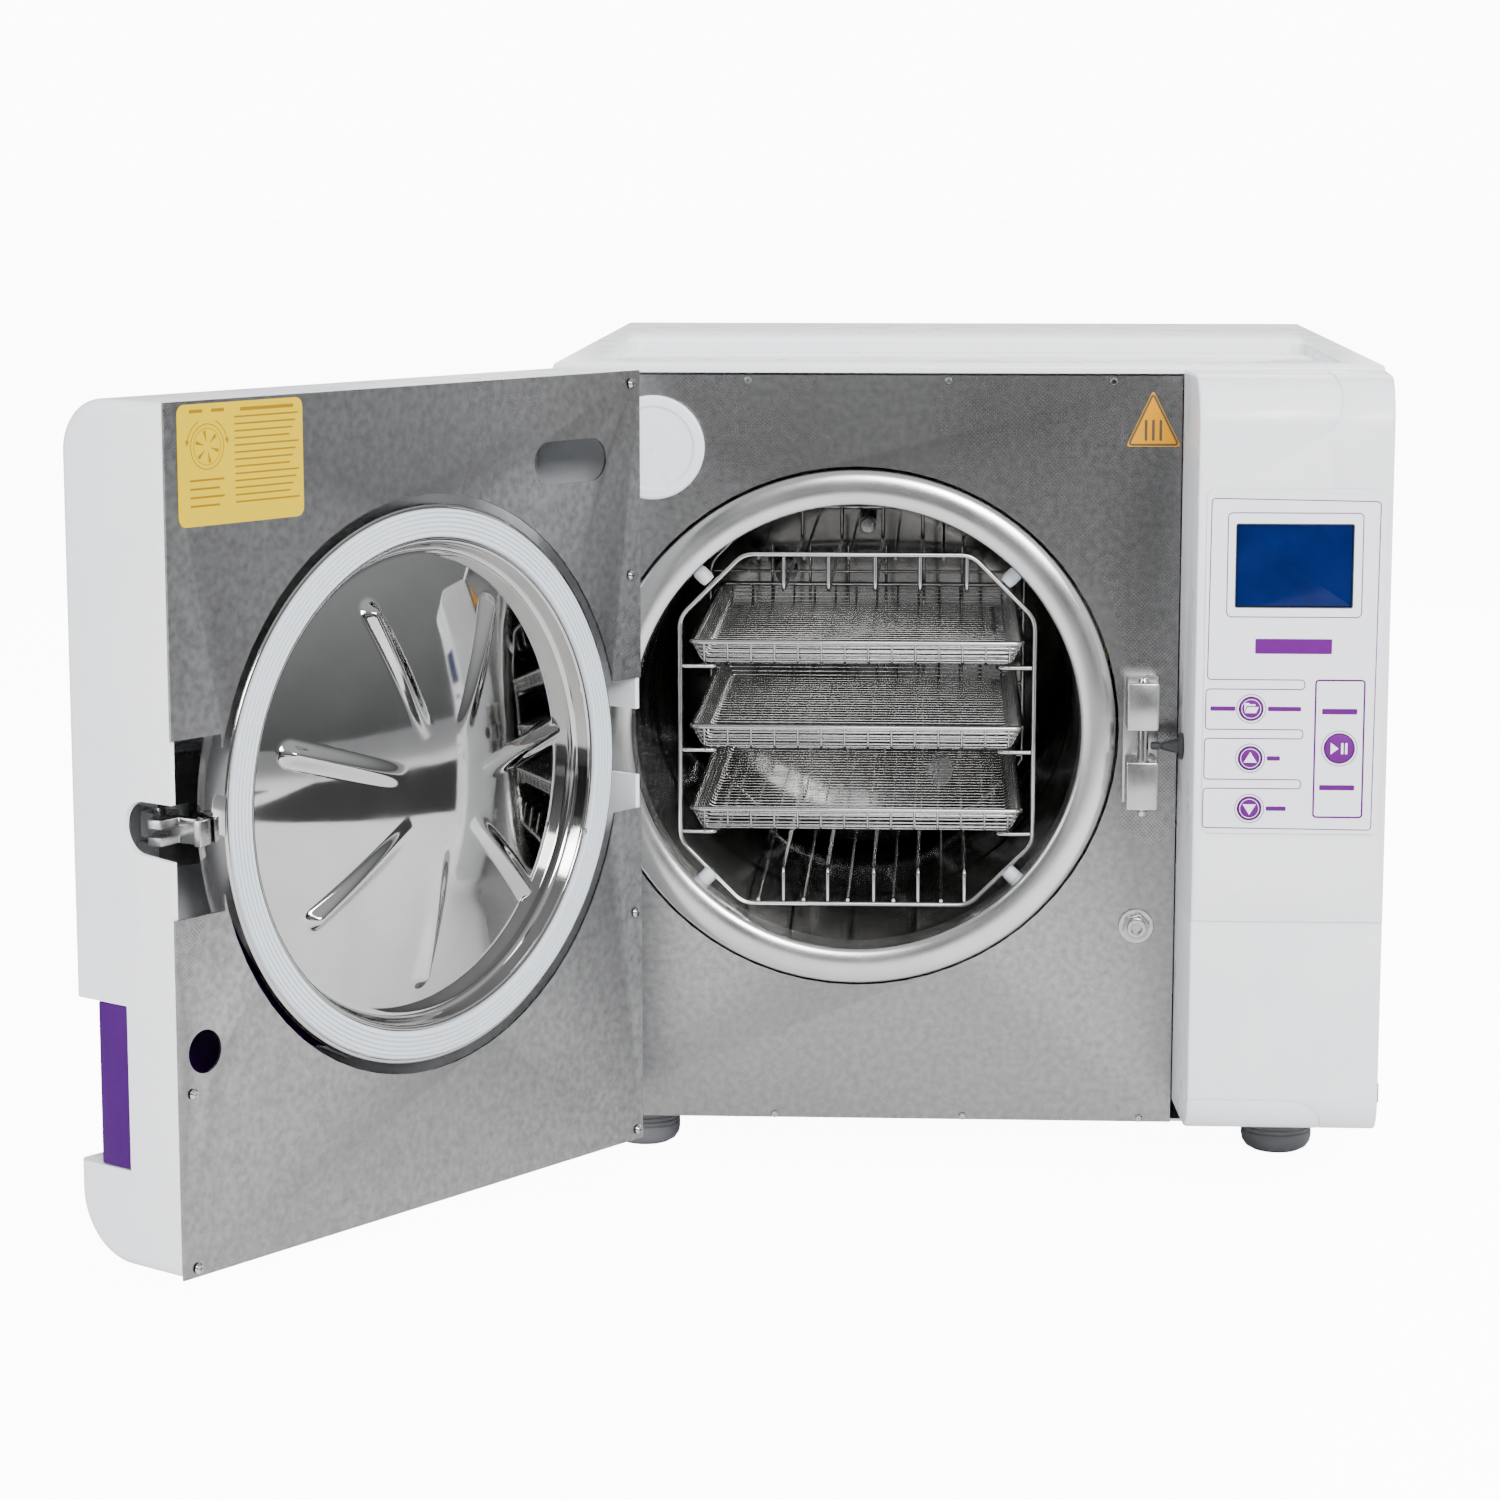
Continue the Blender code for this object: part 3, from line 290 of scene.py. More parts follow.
# %% Linen emboss: rows of tiny diamonds rolled into sheet steel, over fine grinding lines
tree, given, result = new_group("linen_emboss", {"Size": 2.0}, ("Height", "Tint"))
axes = add(tree, "ShaderNodeSeparateXYZ", {"Vector": given["Vector"]}).outputs
step = maths(tree, "DIVIDE", pi, given["Size"])
rising = maths(tree, "MULTIPLY", maths(tree, "ADD", axes["X"], axes["Z"]), step)
falling = maths(tree, "MULTIPLY", maths(tree, "SUBTRACT", axes["X"], axes["Z"]), step)
diamond = maths(tree, "MULTIPLY", maths(tree, "SINE", rising), maths(tree, "SINE", falling))
lines = noise(tree, stretch(tree, given["Vector"], (2.5, 2.5, 0.03)), 1.0, 3)
grain = maths(tree, "MULTIPLY_ADD", lines, 0.35)
tree.links.new(maths(tree, "ABSOLUTE", diamond), grain.node.inputs[2])
send(tree, result, Height=grain,
     Tint=spread(tree, noise(tree, given["Vector"], 0.009, 3), 0.3, 0.7))
linen_emboss = tree

# %% Ground lines: the long scratches of brushed or drawn metal
tree, given, result = new_group("ground_lines", {"Size": 0.5}, ("Height", "Tint"))
scale = maths(tree, "DIVIDE", 1.0, given["Size"])
lines = noise(tree, stretch(tree, given["Vector"], (1.0, 1.0, 0.02)), scale, 3)
blotch = noise(tree, given["Vector"], 0.03, 4)
send(tree, result, Height=lines, Tint=spread(tree, blotch, 0.3, 0.7))
ground_lines = tree

# %% Smooth metal: pressed and polished sheet, nearly a mirror, with a slow ripple
tree, given, result = new_group("polished_ripple", {"Size": 25.0}, ("Height", "Tint"))
scale = maths(tree, "DIVIDE", 1.0, given["Size"])
ripple = noise(tree, given["Vector"], scale, 1)
send(tree, result, Height=ripple,
     Tint=spread(tree, noise(tree, given["Vector"], 0.04, 5), 0.3, 0.7))
polished_ripple = tree

# %% Handling marks: smears and dust that dull a surface in patches
tree, given, result = new_group("handling_marks", {"Size": 30.0}, ("Mask", "Specks"))
scale = maths(tree, "DIVIDE", 1.0, given["Size"])
smear = noise(tree, stretch(tree, given["Vector"], (1.0, 1.0, 0.6)), scale, 6)
specks = noise(tree, given["Vector"], 0.9, 2)
send(tree, result, Mask=spread(tree, smear, 0.35, 0.7), Specks=spread(tree, specks, 0.72, 0.8))
handling_marks = tree

# %% Edge wear: rubbed corners, found from how sharply the surface turns
tree, given, result = new_group("edge_wear", {"Size": 4.0}, ("Mask",))
turn = add(tree, "ShaderNodeNewGeometry").outputs["Pointiness"]
ragged = noise(tree, given["Vector"], maths(tree, "DIVIDE", 1.0, given["Size"]), 4)
corner = spread(tree, turn, 0.53, 0.62)
send(tree, result, Mask=maths(tree, "MULTIPLY", corner, ragged))
edge_wear = tree
print(len(bpy.data.node_groups), "shared node groups")

# %% [markdown]
# A finish joins the groups: the skin's tint mixes two close shades, smears and specks spread the
# roughness between a cleaner and a duller value, rubbed edges take a third shade, and the skin's
# height goes through one Bump node. Numbers that are the same everywhere, such as a clear coat or
# the pull of brushed lines on a highlight, are set on the shader's own sockets.

# %% One function for every finish
made_finishes = {}


def finish(name, shade, other, rough, metallic=0.0, skin=None, size=0.8, depth=0.02, marks=30.0,
           worn=None, on_door=False, **constants):
    """rough is (clean, smeared) roughness; depth is the height of the skin in millimetres."""
    material = bpy.data.materials.new(name)
    material.use_nodes = True
    tree = material.node_tree
    shader = tree.nodes["Principled BSDF"]
    place = add(tree, "ShaderNodeTexCoord").outputs["Object"]
    turn = (0, 0, OPEN if on_door else 0)
    inputs = {"Vector": place, "Rotation": turn, "Scale": (1 / MM,) * 3}
    millimetres = add(tree, "ShaderNodeMapping", inputs).outputs["Vector"]
    skin_node = add(tree, "ShaderNodeGroup", node_tree=skin or moulded_skin)
    marks_node = add(tree, "ShaderNodeGroup", node_tree=handling_marks)
    wear_node = add(tree, "ShaderNodeGroup", node_tree=edge_wear)
    for node, value in ((skin_node, size), (marks_node, marks), (wear_node, 4.0)):
        tree.links.new(millimetres, node.inputs["Vector"])
        node.inputs["Size"].default_value = value
    tint = add(tree, "ShaderNodeMix",
               {0: skin_node.outputs["Tint"], 6: (*shade, 1), 7: (*other, 1)},
               data_type="RGBA").outputs[2]
    colour = add(tree, "ShaderNodeMix",
                 {0: wear_node.outputs["Mask"], 6: tint, 7: (*(worn or other), 1)},
                 data_type="RGBA").outputs[2]
    tree.links.new(colour, shader.inputs["Base Color"])
    smeared = spread(tree, marks_node.outputs["Mask"], 0.0, 1.0, *rough)
    speckled = maths(tree, "MULTIPLY_ADD", marks_node.outputs["Specks"], 0.08)
    tree.links.new(smeared, speckled.node.inputs[2])
    tree.links.new(speckled, shader.inputs["Roughness"])
    bump = add(tree, "ShaderNodeBump",
               {"Height": skin_node.outputs["Height"], "Distance": depth * MM})
    tree.links.new(bump.outputs["Normal"], shader.inputs["Normal"])
    shader.inputs["Metallic"].default_value = metallic
    for socket, value in constants.items():
        shader.inputs[socket.replace("_", " ")].default_value = value
    made_finishes[name] = material
    return material


# %% Plastics, rubber and paint
white = dict(shade=(0.80, 0.815, 0.84), other=(0.765, 0.78, 0.81), rough=(0.26, 0.36),
             worn=(0.88, 0.89, 0.90))
MOULDED = finish("moulded_white", **white, size=0.7, depth=0.012, Coat_Weight=0.15,
                 Coat_Roughness=0.2)
MOULDED_DOOR = finish("moulded_white_door", **white, size=0.7, depth=0.012, on_door=True,
                      Coat_Weight=0.15, Coat_Roughness=0.2)
PAINTED = finish("powder_coat", (0.78, 0.79, 0.81), (0.74, 0.75, 0.78), (0.38, 0.48), size=0.45,
                 depth=0.03,
                 worn=(0.86, 0.86, 0.87))
MEMBRANE = finish("membrane_film", (0.79, 0.80, 0.83), (0.77, 0.78, 0.815), (0.30, 0.38),
                  size=0.25,
                  depth=0.006, marks=18)
PURPLE = finish("purple_grip", (0.043, 0.0, 0.10), (0.036, 0.0, 0.085), (0.42, 0.52), size=0.5,
                depth=0.02, worn=(0.075, 0.004, 0.16), on_door=True, Specular_IOR_Level=0.12)
KEY_PURPLE = finish("purple_print", (0.11, 0.004, 0.16), (0.09, 0.001, 0.14), (0.42, 0.52),
                    size=0.3,
                    depth=0.004, marks=12, Specular_IOR_Level=0.15)
KEY_WHITE = finish("pale_print", (0.82, 0.80, 0.85), (0.78, 0.76, 0.82), (0.35, 0.45), size=0.3,
                   depth=0.003)
BLACK = finish("black_plastic", (0.016, 0.016, 0.018), (0.024, 0.024, 0.026), (0.38, 0.5),
               size=0.5,
               depth=0.02, worn=(0.06, 0.06, 0.06))
RUBBER = finish("foot_rubber", (0.125, 0.128, 0.134), (0.145, 0.148, 0.155), (0.55, 0.7), size=0.6,
                depth=0.03, worn=(0.13, 0.135, 0.14))
SILICONE = finish("gasket_silicone", (0.60, 0.64, 0.68), (0.56, 0.60, 0.64), (0.42, 0.52),
                  size=0.6,
                  depth=0.012, Subsurface_Weight=0.05)
BUFFER = finish("clear_silicone", (0.62, 0.66, 0.70), (0.54, 0.58, 0.62), (0.25, 0.35), size=0.6,
                depth=0.01)
TANK = finish("tank_plastic", (0.68, 0.71, 0.72), (0.62, 0.655, 0.67), (0.38, 0.5), size=1.2,
              depth=0.03)
BOARD = finish("solder_mask", (0.012, 0.125, 0.055), (0.018, 0.165, 0.075), (0.3, 0.45), size=2.5,
               depth=0.05)
FLEECE = finish("insulation_fleece", (0.60, 0.55, 0.44), (0.48, 0.44, 0.35), (0.85, 0.95),
                size=0.9, depth=0.5)
YELLOW = finish("yellow_film", (0.56, 0.385, 0.0), (0.53, 0.36, 0.0), (0.42, 0.52), size=0.4,
                depth=0.003,
                on_door=True, Specular_IOR_Level=0.1)
AMBER = finish("amber_film", (0.62, 0.27, 0.004), (0.56, 0.24, 0.003), (0.42, 0.52), size=0.4,
               depth=0.003,
               Specular_IOR_Level=0.1)
INK = finish("dark_print", (0.055, 0.038, 0.012), (0.075, 0.05, 0.016), (0.35, 0.45), size=0.3,
             depth=0.002)
OCHRE = finish("ochre_print", (0.27, 0.15, 0.0), (0.24, 0.13, 0.0), (0.42, 0.52), size=0.3,
               depth=0.002,
               on_door=True, Specular_IOR_Level=0.1)
print(len(made_finishes), "plastic, rubber and paint finishes")

# %% Metals
linen = dict(shade=(0.165, 0.164, 0.163), other=(0.150, 0.149, 0.148), rough=(0.26, 0.30),
             metallic=1.0,
             skin=linen_emboss, size=2.2, depth=0.022, marks=90, worn=(0.7, 0.7, 0.7))
LINEN = finish("linen_steel", **linen, Anisotropic=0.4)
LINEN_DOOR = finish("linen_steel_door", **linen, on_door=True, Anisotropic=0.4)
MIRROR = finish("mirror_steel", (0.50, 0.495, 0.485), (0.45, 0.445, 0.435), (0.03, 0.08), 1.0,
                skin=polished_ripple, size=32, depth=0.12, marks=45, on_door=True)
FLANGE = finish("polished_flange", (0.60, 0.60, 0.59), (0.54, 0.54, 0.53), (0.20, 0.27), 1.0,
                skin=ground_lines, size=0.6, depth=0.004, marks=40)
VESSEL = finish("chamber_steel", (0.15, 0.147, 0.143), (0.11, 0.108, 0.105), (0.10, 0.17), 1.0,
                skin=polished_ripple, size=30, depth=0.08, marks=30)
BRIGHT = finish("wire_steel", (0.56, 0.56, 0.55), (0.46, 0.46, 0.45), (0.10, 0.18), 1.0,
                skin=ground_lines, size=0.5, depth=0.004, marks=15)
SATIN = finish("satin_steel", (0.42, 0.42, 0.415), (0.36, 0.36, 0.355), (0.22, 0.32), 1.0,
               skin=ground_lines, size=0.5, depth=0.01, marks=20, worn=(0.78, 0.78, 0.78))
ZINC = finish("zinc_plate", (0.52, 0.53, 0.55), (0.44, 0.45, 0.48), (0.30, 0.45), 1.0,
              skin=moulded_skin, size=3.0, depth=0.02, marks=20, worn=(0.7, 0.7, 0.72))
CAST = finish("cast_aluminium", (0.60, 0.61, 0.63), (0.52, 0.53, 0.55), (0.42, 0.58), 1.0,
              skin=moulded_skin, size=0.9, depth=0.08, marks=25, worn=(0.75, 0.75, 0.76))
BRASS = finish("machined_brass", (0.72, 0.52, 0.22), (0.62, 0.43, 0.17), (0.20, 0.34), 1.0,
               skin=ground_lines, size=0.4, depth=0.008, marks=15, worn=(0.85, 0.68, 0.38))
COPPER = finish("copper_fins", (0.72, 0.36, 0.22), (0.60, 0.28, 0.17), (0.25, 0.4), 1.0,
                skin=ground_lines, size=1.6, depth=0.25, marks=20)
print(len(made_finishes), "finishes in all")

# %% [markdown]
# ## Tools for making pieces
#
# Every piece ends the same way: its mesh is moved from working millimetres to its true place, it
# gets its finish, it rides on a body, and it hides the solids it stands for.
# `keep` does all of that. Before it come the few shapes that most pieces start from.

# %% A finished piece


def keep(name, mesh, material, body, slot, stands_for=(), move=CABINET, smooth=35):
    """Puts a mesh made in working millimetres in its place, as a piece that rides on a body."""
    mesh.name = name
    mesh.transform(move)
    if material is not None:
        mesh.materials.clear()
        mesh.materials.append(material)
    mesh.shade_smooth()
    if smooth is not None:
        mesh.set_sharp_from_angle(angle=radians(smooth))
    piece = link_to_scene(bpy.data.objects.new(name, mesh))
    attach(piece, body)
    if stands_for:
        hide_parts(*stands_for)
    return piece


def mesh_of(build):
    work = bmesh.new()
    build(work)
    bmesh.ops.recalc_face_normals(work, faces=work.faces)
    mesh = bpy.data.meshes.new("working")
    work.to_mesh(mesh)
    work.free()
    return mesh


def joined(*meshes):
    """Several closed meshes as one mesh of separate shells."""
    work = bmesh.new()
    for mesh in meshes:
        work.from_mesh(mesh)
        bpy.data.meshes.remove(mesh)
    whole = bpy.data.meshes.new("joined")
    work.to_mesh(whole)
    work.free()
    return whole


# %% Blocks, prisms and round bars
FACING = {"X": Matrix.Rotation(pi / 2, 4, "Y"), "Y": Matrix.Rotation(-pi / 2, 4, "X"),
          "Z": Matrix()}


def block(low, high, bevel=0.0, segments=3):
    low, high = Vector(low), Vector(high)
    matrix = Matrix.Translation((low + high) / 2) @ Matrix.Diagonal((*(high - low), 1))

    def build(work):
        bmesh.ops.create_cube(work, size=1, matrix=matrix)
        if bevel:
            bmesh.ops.bevel(work, geom=work.edges[:], offset=bevel, segments=segments, profile=0.5,
                            affect="EDGES")

    return mesh_of(build)


def bar(start, radius, length, axis="Z", sides=48, bevel=0.0, tip=None):
    """A round bar from start along an axis; a second radius makes it a cone."""
    matrix = Matrix.Translation(start) @ FACING[axis] @ Matrix.Translation((0, 0, length / 2))

    def build(work):
        bmesh.ops.create_cone(work, cap_ends=True, segments=sides, radius1=radius,
                              radius2=radius if tip is None else tip, depth=length, matrix=matrix)
        if bevel:
            rims = [e for e in work.edges if any(len(f.verts) > 4 for f in e.link_faces)]
            bmesh.ops.bevel(work, geom=rims, offset=bevel, segments=3, profile=0.5, affect="EDGES")

    return mesh_of(build)


def prism(outline, start, end, axis="Y", bevel=0.0):
    """A flat outline pushed along an axis."""
    spot = {"X": lambda a, b, t: (t, a, b), "Y": lambda a, b, t: (a, t, b), "Z": lambda a, b,
            t: (a, b, t)}[axis]

    def build(work):
        near = [work.verts.new(spot(a, b, start)) for a, b in outline]
        far = [work.verts.new(spot(a, b, end)) for a, b in outline]
        caps = [work.faces.new(near), work.faces.new(far[::-1])]
        for i in range(len(outline)):
            j = (i + 1) % len(outline)
            work.faces.new((near[i], far[i], far[j], near[j]))
        if bevel:
            rims = list({e for cap in caps for e in cap.edges})
            bmesh.ops.bevel(work, geom=rims, offset=bevel, segments=3, profile=0.5, affect="EDGES")

    return mesh_of(build)


def turned(profile, centre, axis="Y", steps=160, ring=False):
    """(radius, height) points turned about an axis; a ring's profile closes on itself."""
    centre = Vector(centre)
    pairs = list(zip(profile, profile[1:] + profile[:1]))[: len(profile) if ring else -1]

    def build(work):
        poles = {i: None for i, (radius, _) in enumerate(profile) if radius < 1e-6}
        columns = []
        for k in range(steps):
            t = 2 * pi * k / steps
            column = []
            for i, (radius, height) in enumerate(profile):
                if i in poles and poles[i] is not None:
                    column.append(poles[i])
                    continue
                vert = work.verts.new(centre + FACING[axis] @ Vector((radius * cos(t),
                                                                      radius * sin(t), height)))
                if i in poles:
                    poles[i] = vert
                column.append(vert)
            columns.append(column)
        for here, there in zip(columns, columns[1:] + columns[:1]):
            for i in range(len(pairs)):
                j = (i + 1) % len(profile)
                corners = list(dict.fromkeys((here[i], here[j], there[j], there[i])))
                if len(corners) > 2:
                    work.faces.new(corners)

    return mesh_of(build)


def arc(a, b, radius, start, end, steps):
    angles = [radians(start + (end - start) * i / steps) for i in range(steps + 1)]
    return [(a + radius * cos(t), b + radius * sin(t)) for t in angles]


def rounded_box(left, low, right, high, radius, steps=8):
    """The outline of a rectangle with rounded corners."""
    return [*arc(right - radius, high - radius, radius, 0, 90, steps),
            *arc(left + radius, high - radius, radius, 90, 180, steps),
            *arc(left + radius, low + radius, radius, 180, 270, steps),
            *arc(right - radius, low + radius, radius, 270, 360, steps)]


# %% Cutting and joining with modifiers, applied at once
def applied(item):
    """The item's mesh with its modifiers, and the item removed."""
    graph = bpy.context.evaluated_depsgraph_get()
    mesh = bpy.data.meshes.new_from_object(item.evaluated_get(graph))
    bpy.data.objects.remove(item, do_unlink=True)
    return mesh


def boolean(mesh, others, operation="DIFFERENCE"):
    item = link_to_scene(bpy.data.objects.new("workpiece", mesh))
    helpers = [link_to_scene(bpy.data.objects.new("tool", other)) for other in others]
    for helper in helpers:
        step = item.modifiers.new("boolean", "BOOLEAN")
        step.operation, step.object, step.solver = operation, helper, "EXACT"
    mesh = applied(item)
    for helper in helpers:
        bpy.data.objects.remove(helper, do_unlink=True)
    return mesh


def eased(mesh, width, segments=3, angle=32):
    """Rounds every edge that turns by more than the angle."""
    item = link_to_scene(bpy.data.objects.new("workpiece", mesh))
    rounding = item.modifiers.new("bevel", "BEVEL")
    rounding.width, rounding.segments = width, segments
    rounding.limit_method, rounding.angle_limit = "ANGLE", radians(angle)
    rounding.harden_normals = False
    return applied(item)


# %% Bent wire: a path with rounded bends, swept with a round section
def bent(points, radius, steps=5, cyclic=False):
    """The path with each corner replaced by a curve of about this bend radius."""
    points = [Vector(p) for p in points]
    count, path = len(points), []
    for i, point in enumerate(points):
        if not cyclic and i in (0, count - 1):
            path.append(point)
            continue
        before, after = points[i - 1] - point, points[(i + 1) % count] - point
        reach = min(radius, before.length / 2.05, after.length / 2.05)
        start, end = point + before.normalized() * reach, point + after.normalized() * reach
        for k in range(steps + 1):
            t = k / steps
            path.append(start * (1 - t) ** 2 + point * 2 * t * (1 - t) + end * t * t)
    return path


def wire(points, radius, bend=4.0, cyclic=False, sides=8, steps=5):
    path = bent(points, bend, steps, cyclic) if bend else [Vector(p) for p in points]
    count = len(path)

    def build(work):
        rows, side = [], None
        for i, point in enumerate(path):
            ahead = path[(i + 1) % count] if cyclic or i < count - 1 else point
            behind = path[i - 1] if cyclic or i else point
            along = (ahead - behind).normalized()
            if side is None:
                side = along.orthogonal().normalized()
            side = (side - along * side.dot(along)).normalized()
            other = along.cross(side)
            rows.append([work.verts.new(point + radius * (side * cos(t) + other * sin(t)))
                         for t in (2 * pi * k / sides for k in range(sides))])
        for here, there in zip(rows, rows[1:]):
            for k in range(sides):
                m = (k + 1) % sides
                work.faces.new((here[k], there[k], there[m], here[m]))
        if cyclic:
            # The section may have turned on its way round, so the last row meets the nearest verts.
            last, first = rows[-1], rows[0]
            shift = min(range(sides), key=lambda s: (last[0].co - first[s].co).length)
            for k in range(sides):
                m = (k + 1) % sides
                work.faces.new((last[k], first[(k + shift) % sides], first[(m + shift) % sides],
                                last[m]))
        else:
            work.faces.new(rows[0])
            work.faces.new(rows[-1][::-1])

    return mesh_of(build)


print("shapes, cutters and bent wire are ready")

# %% [markdown]
# ## Things that repeat
#
# Wires of a basket, screws along an edge, slats of a vent and blades of a fan are one shape set
# down many times. Geometry Nodes say this once: a row tree lays copies of the incoming mesh at an
# even step, and a points tree sets a screw on every point of the incoming mesh. Both end by making
# the copies real, because a copy that exists only as an instance would be lost on the way out.

# %% The row tree: copies of a mesh at an even step


def new_tree(name, sockets):
    tree = bpy.data.node_groups.new(name, "GeometryNodeTree")
    tree.interface.new_socket("Geometry", in_out="INPUT", socket_type="NodeSocketGeometry")
    for label, kind in sockets.items():
        tree.interface.new_socket(label, in_out="INPUT", socket_type=kind)
    tree.interface.new_socket("Geometry", in_out="OUTPUT", socket_type="NodeSocketGeometry")
    return tree, tree.nodes.new("NodeGroupInput").outputs, tree.nodes.new("NodeGroupOutput").inputs


def ended(tree, geometry, given, result):
    """The last two nodes of every tree."""
    real = add(tree, "GeometryNodeRealizeInstances", {"Geometry": geometry}).outputs["Geometry"]
    painted = add(tree, "GeometryNodeSetMaterial",
                  {"Geometry": real, "Material": given["Material"]})
    tree.links.new(painted.outputs["Geometry"], result["Geometry"])


row_tree, given, result = new_tree("even_row", {
    "Count": "NodeSocketInt", "Step": "NodeSocketVector", "Turn": "NodeSocketFloat",
    "Material": "NodeSocketMaterial"})
line = add(row_tree, "GeometryNodeMeshLine", {"Count": given["Count"], "Offset": given["Step"]})
index = add(row_tree, "GeometryNodeInputIndex").outputs["Index"]
angle = maths(row_tree, "MULTIPLY", index, given["Turn"])
turning = add(row_tree, "ShaderNodeCombineXYZ", {"Y": angle}).outputs["Vector"]
copies = add(row_tree, "GeometryNodeInstanceOnPoints", {
    "Points": line.outputs["Mesh"], "Instance": given["Geometry"], "Rotation": turning})
ended(row_tree, copies.outputs["Instances"], given, result)

# %% The screw tree: a pan head with a cross recess on every point
screw_tree, given, result = new_tree("screws_on_points", {
    "Head Radius": "NodeSocketFloat", "Head Height": "NodeSocketFloat",
    "Facing": "NodeSocketVector",
    "Material": "NodeSocketMaterial"})
radius, tall = given["Head Radius"], given["Head Height"]
head = add(screw_tree, "GeometryNodeMeshCone", {
    "Vertices": 20, "Radius Top": maths(screw_tree, "MULTIPLY", radius, 0.62),
    "Radius Bottom": radius,
    "Depth": tall}).outputs["Mesh"]
recess = []
for long_side in ("X", "Y"):
    sides = {axis: maths(screw_tree, "MULTIPLY", radius, 1.1 if axis == long_side else 0.26)
             for axis in "XY"}
    size = add(screw_tree, "ShaderNodeCombineXYZ", {**sides, "Z": tall}).outputs["Vector"]
    slot = add(screw_tree, "GeometryNodeMeshCube", {"Size": size}).outputs["Mesh"]
    up = add(screw_tree, "ShaderNodeCombineXYZ", {"Z": maths(screw_tree, "MULTIPLY", tall, 0.95)})
    recess.append(add(screw_tree, "GeometryNodeTransform", {
        "Geometry": slot, "Translation": up.outputs["Vector"]}).outputs["Geometry"])
cut = add(screw_tree, "GeometryNodeMeshBoolean", {"Mesh 1": head}, operation="DIFFERENCE")
for slot in recess:
    screw_tree.links.new(slot, cut.inputs["Mesh 2"])
heads = add(screw_tree, "GeometryNodeInstanceOnPoints", {
    "Points": given["Geometry"], "Instance": cut.outputs["Mesh"], "Rotation": given["Facing"]})
ended(screw_tree, heads.outputs["Instances"], given, result)


# %% Running a tree on a mesh and taking back a plain mesh
def grown(mesh, tree, **values):
    item = link_to_scene(bpy.data.objects.new("seed", mesh))
    item.data.materials.clear()
    modifier = item.modifiers.new(tree.name, "NODES")
    modifier.node_group = tree
    sockets = {s.name: s.identifier for s in tree.interface.items_tree if s.in_out == "INPUT"}
    for label, value in values.items():
        modifier[sockets[label.replace("_", " ")]] = value
    return applied(item)


def row(mesh, count, step, material, turn=0.0):
    return grown(mesh, row_tree, Count=count, Step=step, Turn=turn, Material=material)


def points_mesh(points):
    mesh = bpy.data.meshes.new("points")
    mesh.from_pydata([tuple(p) for p in points], [], [])
    return mesh


FACE_FRONT, FACE_BACK = (pi / 2, 0, 0), (-pi / 2, 0, 0)
FACE_LEFT, FACE_RIGHT = (0, -pi / 2, 0), (0, pi / 2, 0)


def screws(name, points, radius, facing, body="cabinet", material=BRIGHT, slot="polished_steel",
           tall=None, **place):
    mesh = grown(points_mesh(points), screw_tree, Head_Radius=radius,
                 Head_Height=tall or radius * 0.5,
                 Facing=facing, Material=material)
    return keep(name, mesh, material, body, slot, **place)


print("Geometry Nodes trees:", row_tree.name, "and", screw_tree.name)

# %% [markdown]
# ## The solids that keep their shape
#
# Flat sheet and most of what is hidden inside is already right, so these solids stay and only take
# a finish. The door's sheets take the finish whose pattern is turned back with the door.

# %% Finishes on the solids themselves
finish_of_nodes = {
    LINEN: "front_panel",
    LINEN_DOOR: "upper_door_plate lower_door_plate",
    PAINTED: "left_side_panel",
    ZINC: "base_plate chamber_cradle lock_solenoid hinge_bracket",
    FLEECE: "insulation_jacket",
    BOARD: "control_board",
    CAST: "power_supply vacuum_pump",
    FLANGE: "steam_generator adjusting_spindle hinge_pin",
    BLACK: "water_pump",
    BRASS: "valve_block safety_valve",
    TANK: "clean_water_tank waste_water_tank",
    COPPER: "condenser",
    SATIN: "door_beam",
}
for material, names in finish_of_nodes.items():
    for name in names.split():
        slots = frame["nodes"][name].data.materials
        slots.clear()
        slots.append(material)
print(sum(len(names.split()) for names in finish_of_nodes.values()), "solids took a finish")

# %% [markdown]
# ## The chamber's flange and vessel
#
# The flange is a heavy turned ring with a softly bulged, polished face. A turned shape is a
# profile spun about the axis, so the only work is the profile. The vessel behind it is a drawn
# steel pot with a dished end, one weld bead round its middle, and three small ports in its end.

# %% The flange
RING_IN, RING_OUT, RING_PROUD, RING_BACK = 124.5, 143.8, 5.7, 22.0
middle, reach = (RING_IN + RING_OUT) / 2, (RING_OUT - RING_IN) / 2
face = [(middle + reach * cos(pi * i / 24), -RING_PROUD + 3.2 * (1 - sin(pi * i / 24)))
        for i in range(25)]
flange = turned([(RING_OUT, RING_BACK), *face, (RING_IN, RING_BACK)], (0, 0, MID_Z), steps=224,
                ring=True)
keep("chamber_ring", flange, FLANGE, "cabinet", "polished_steel", ["chamber_flange"])

# %% The vessel, its weld bead and the ports in its end
VESSEL_END = 345.0
bead = [(RING_IN - 0.9 * sin(pi * i / 8), 150 + 3.0 * i / 8) for i in range(9)]
inside = [(0, VESSEL_END), (20, 344.7), (62, 339.5), (90, 334), (106, 329.6), (118, 323),
          (123.2, 318), (124.5, 312)]
outside = [(127.5, 22.6), (127.5, 321), (108, 334), (62, 343), (20, 347.9), (0, 348)]
vessel = turned(inside + bead[::-1] + [(RING_IN, 22.6)] + outside, (0, 0, MID_Z), steps=160)
keep("chamber_pot", vessel, VESSEL, "cabinet", "polished_steel", ["chamber_vessel"])
ports = [bar((x, 316, z), radius, 22, "Y", 32, 0.8) for x, z,
         radius in ((-52, 300, 7), (46, 172, 9), (0, 330, 5))]
keep("chamber_ports", joined(*ports), SATIN, "cabinet", "polished_steel")
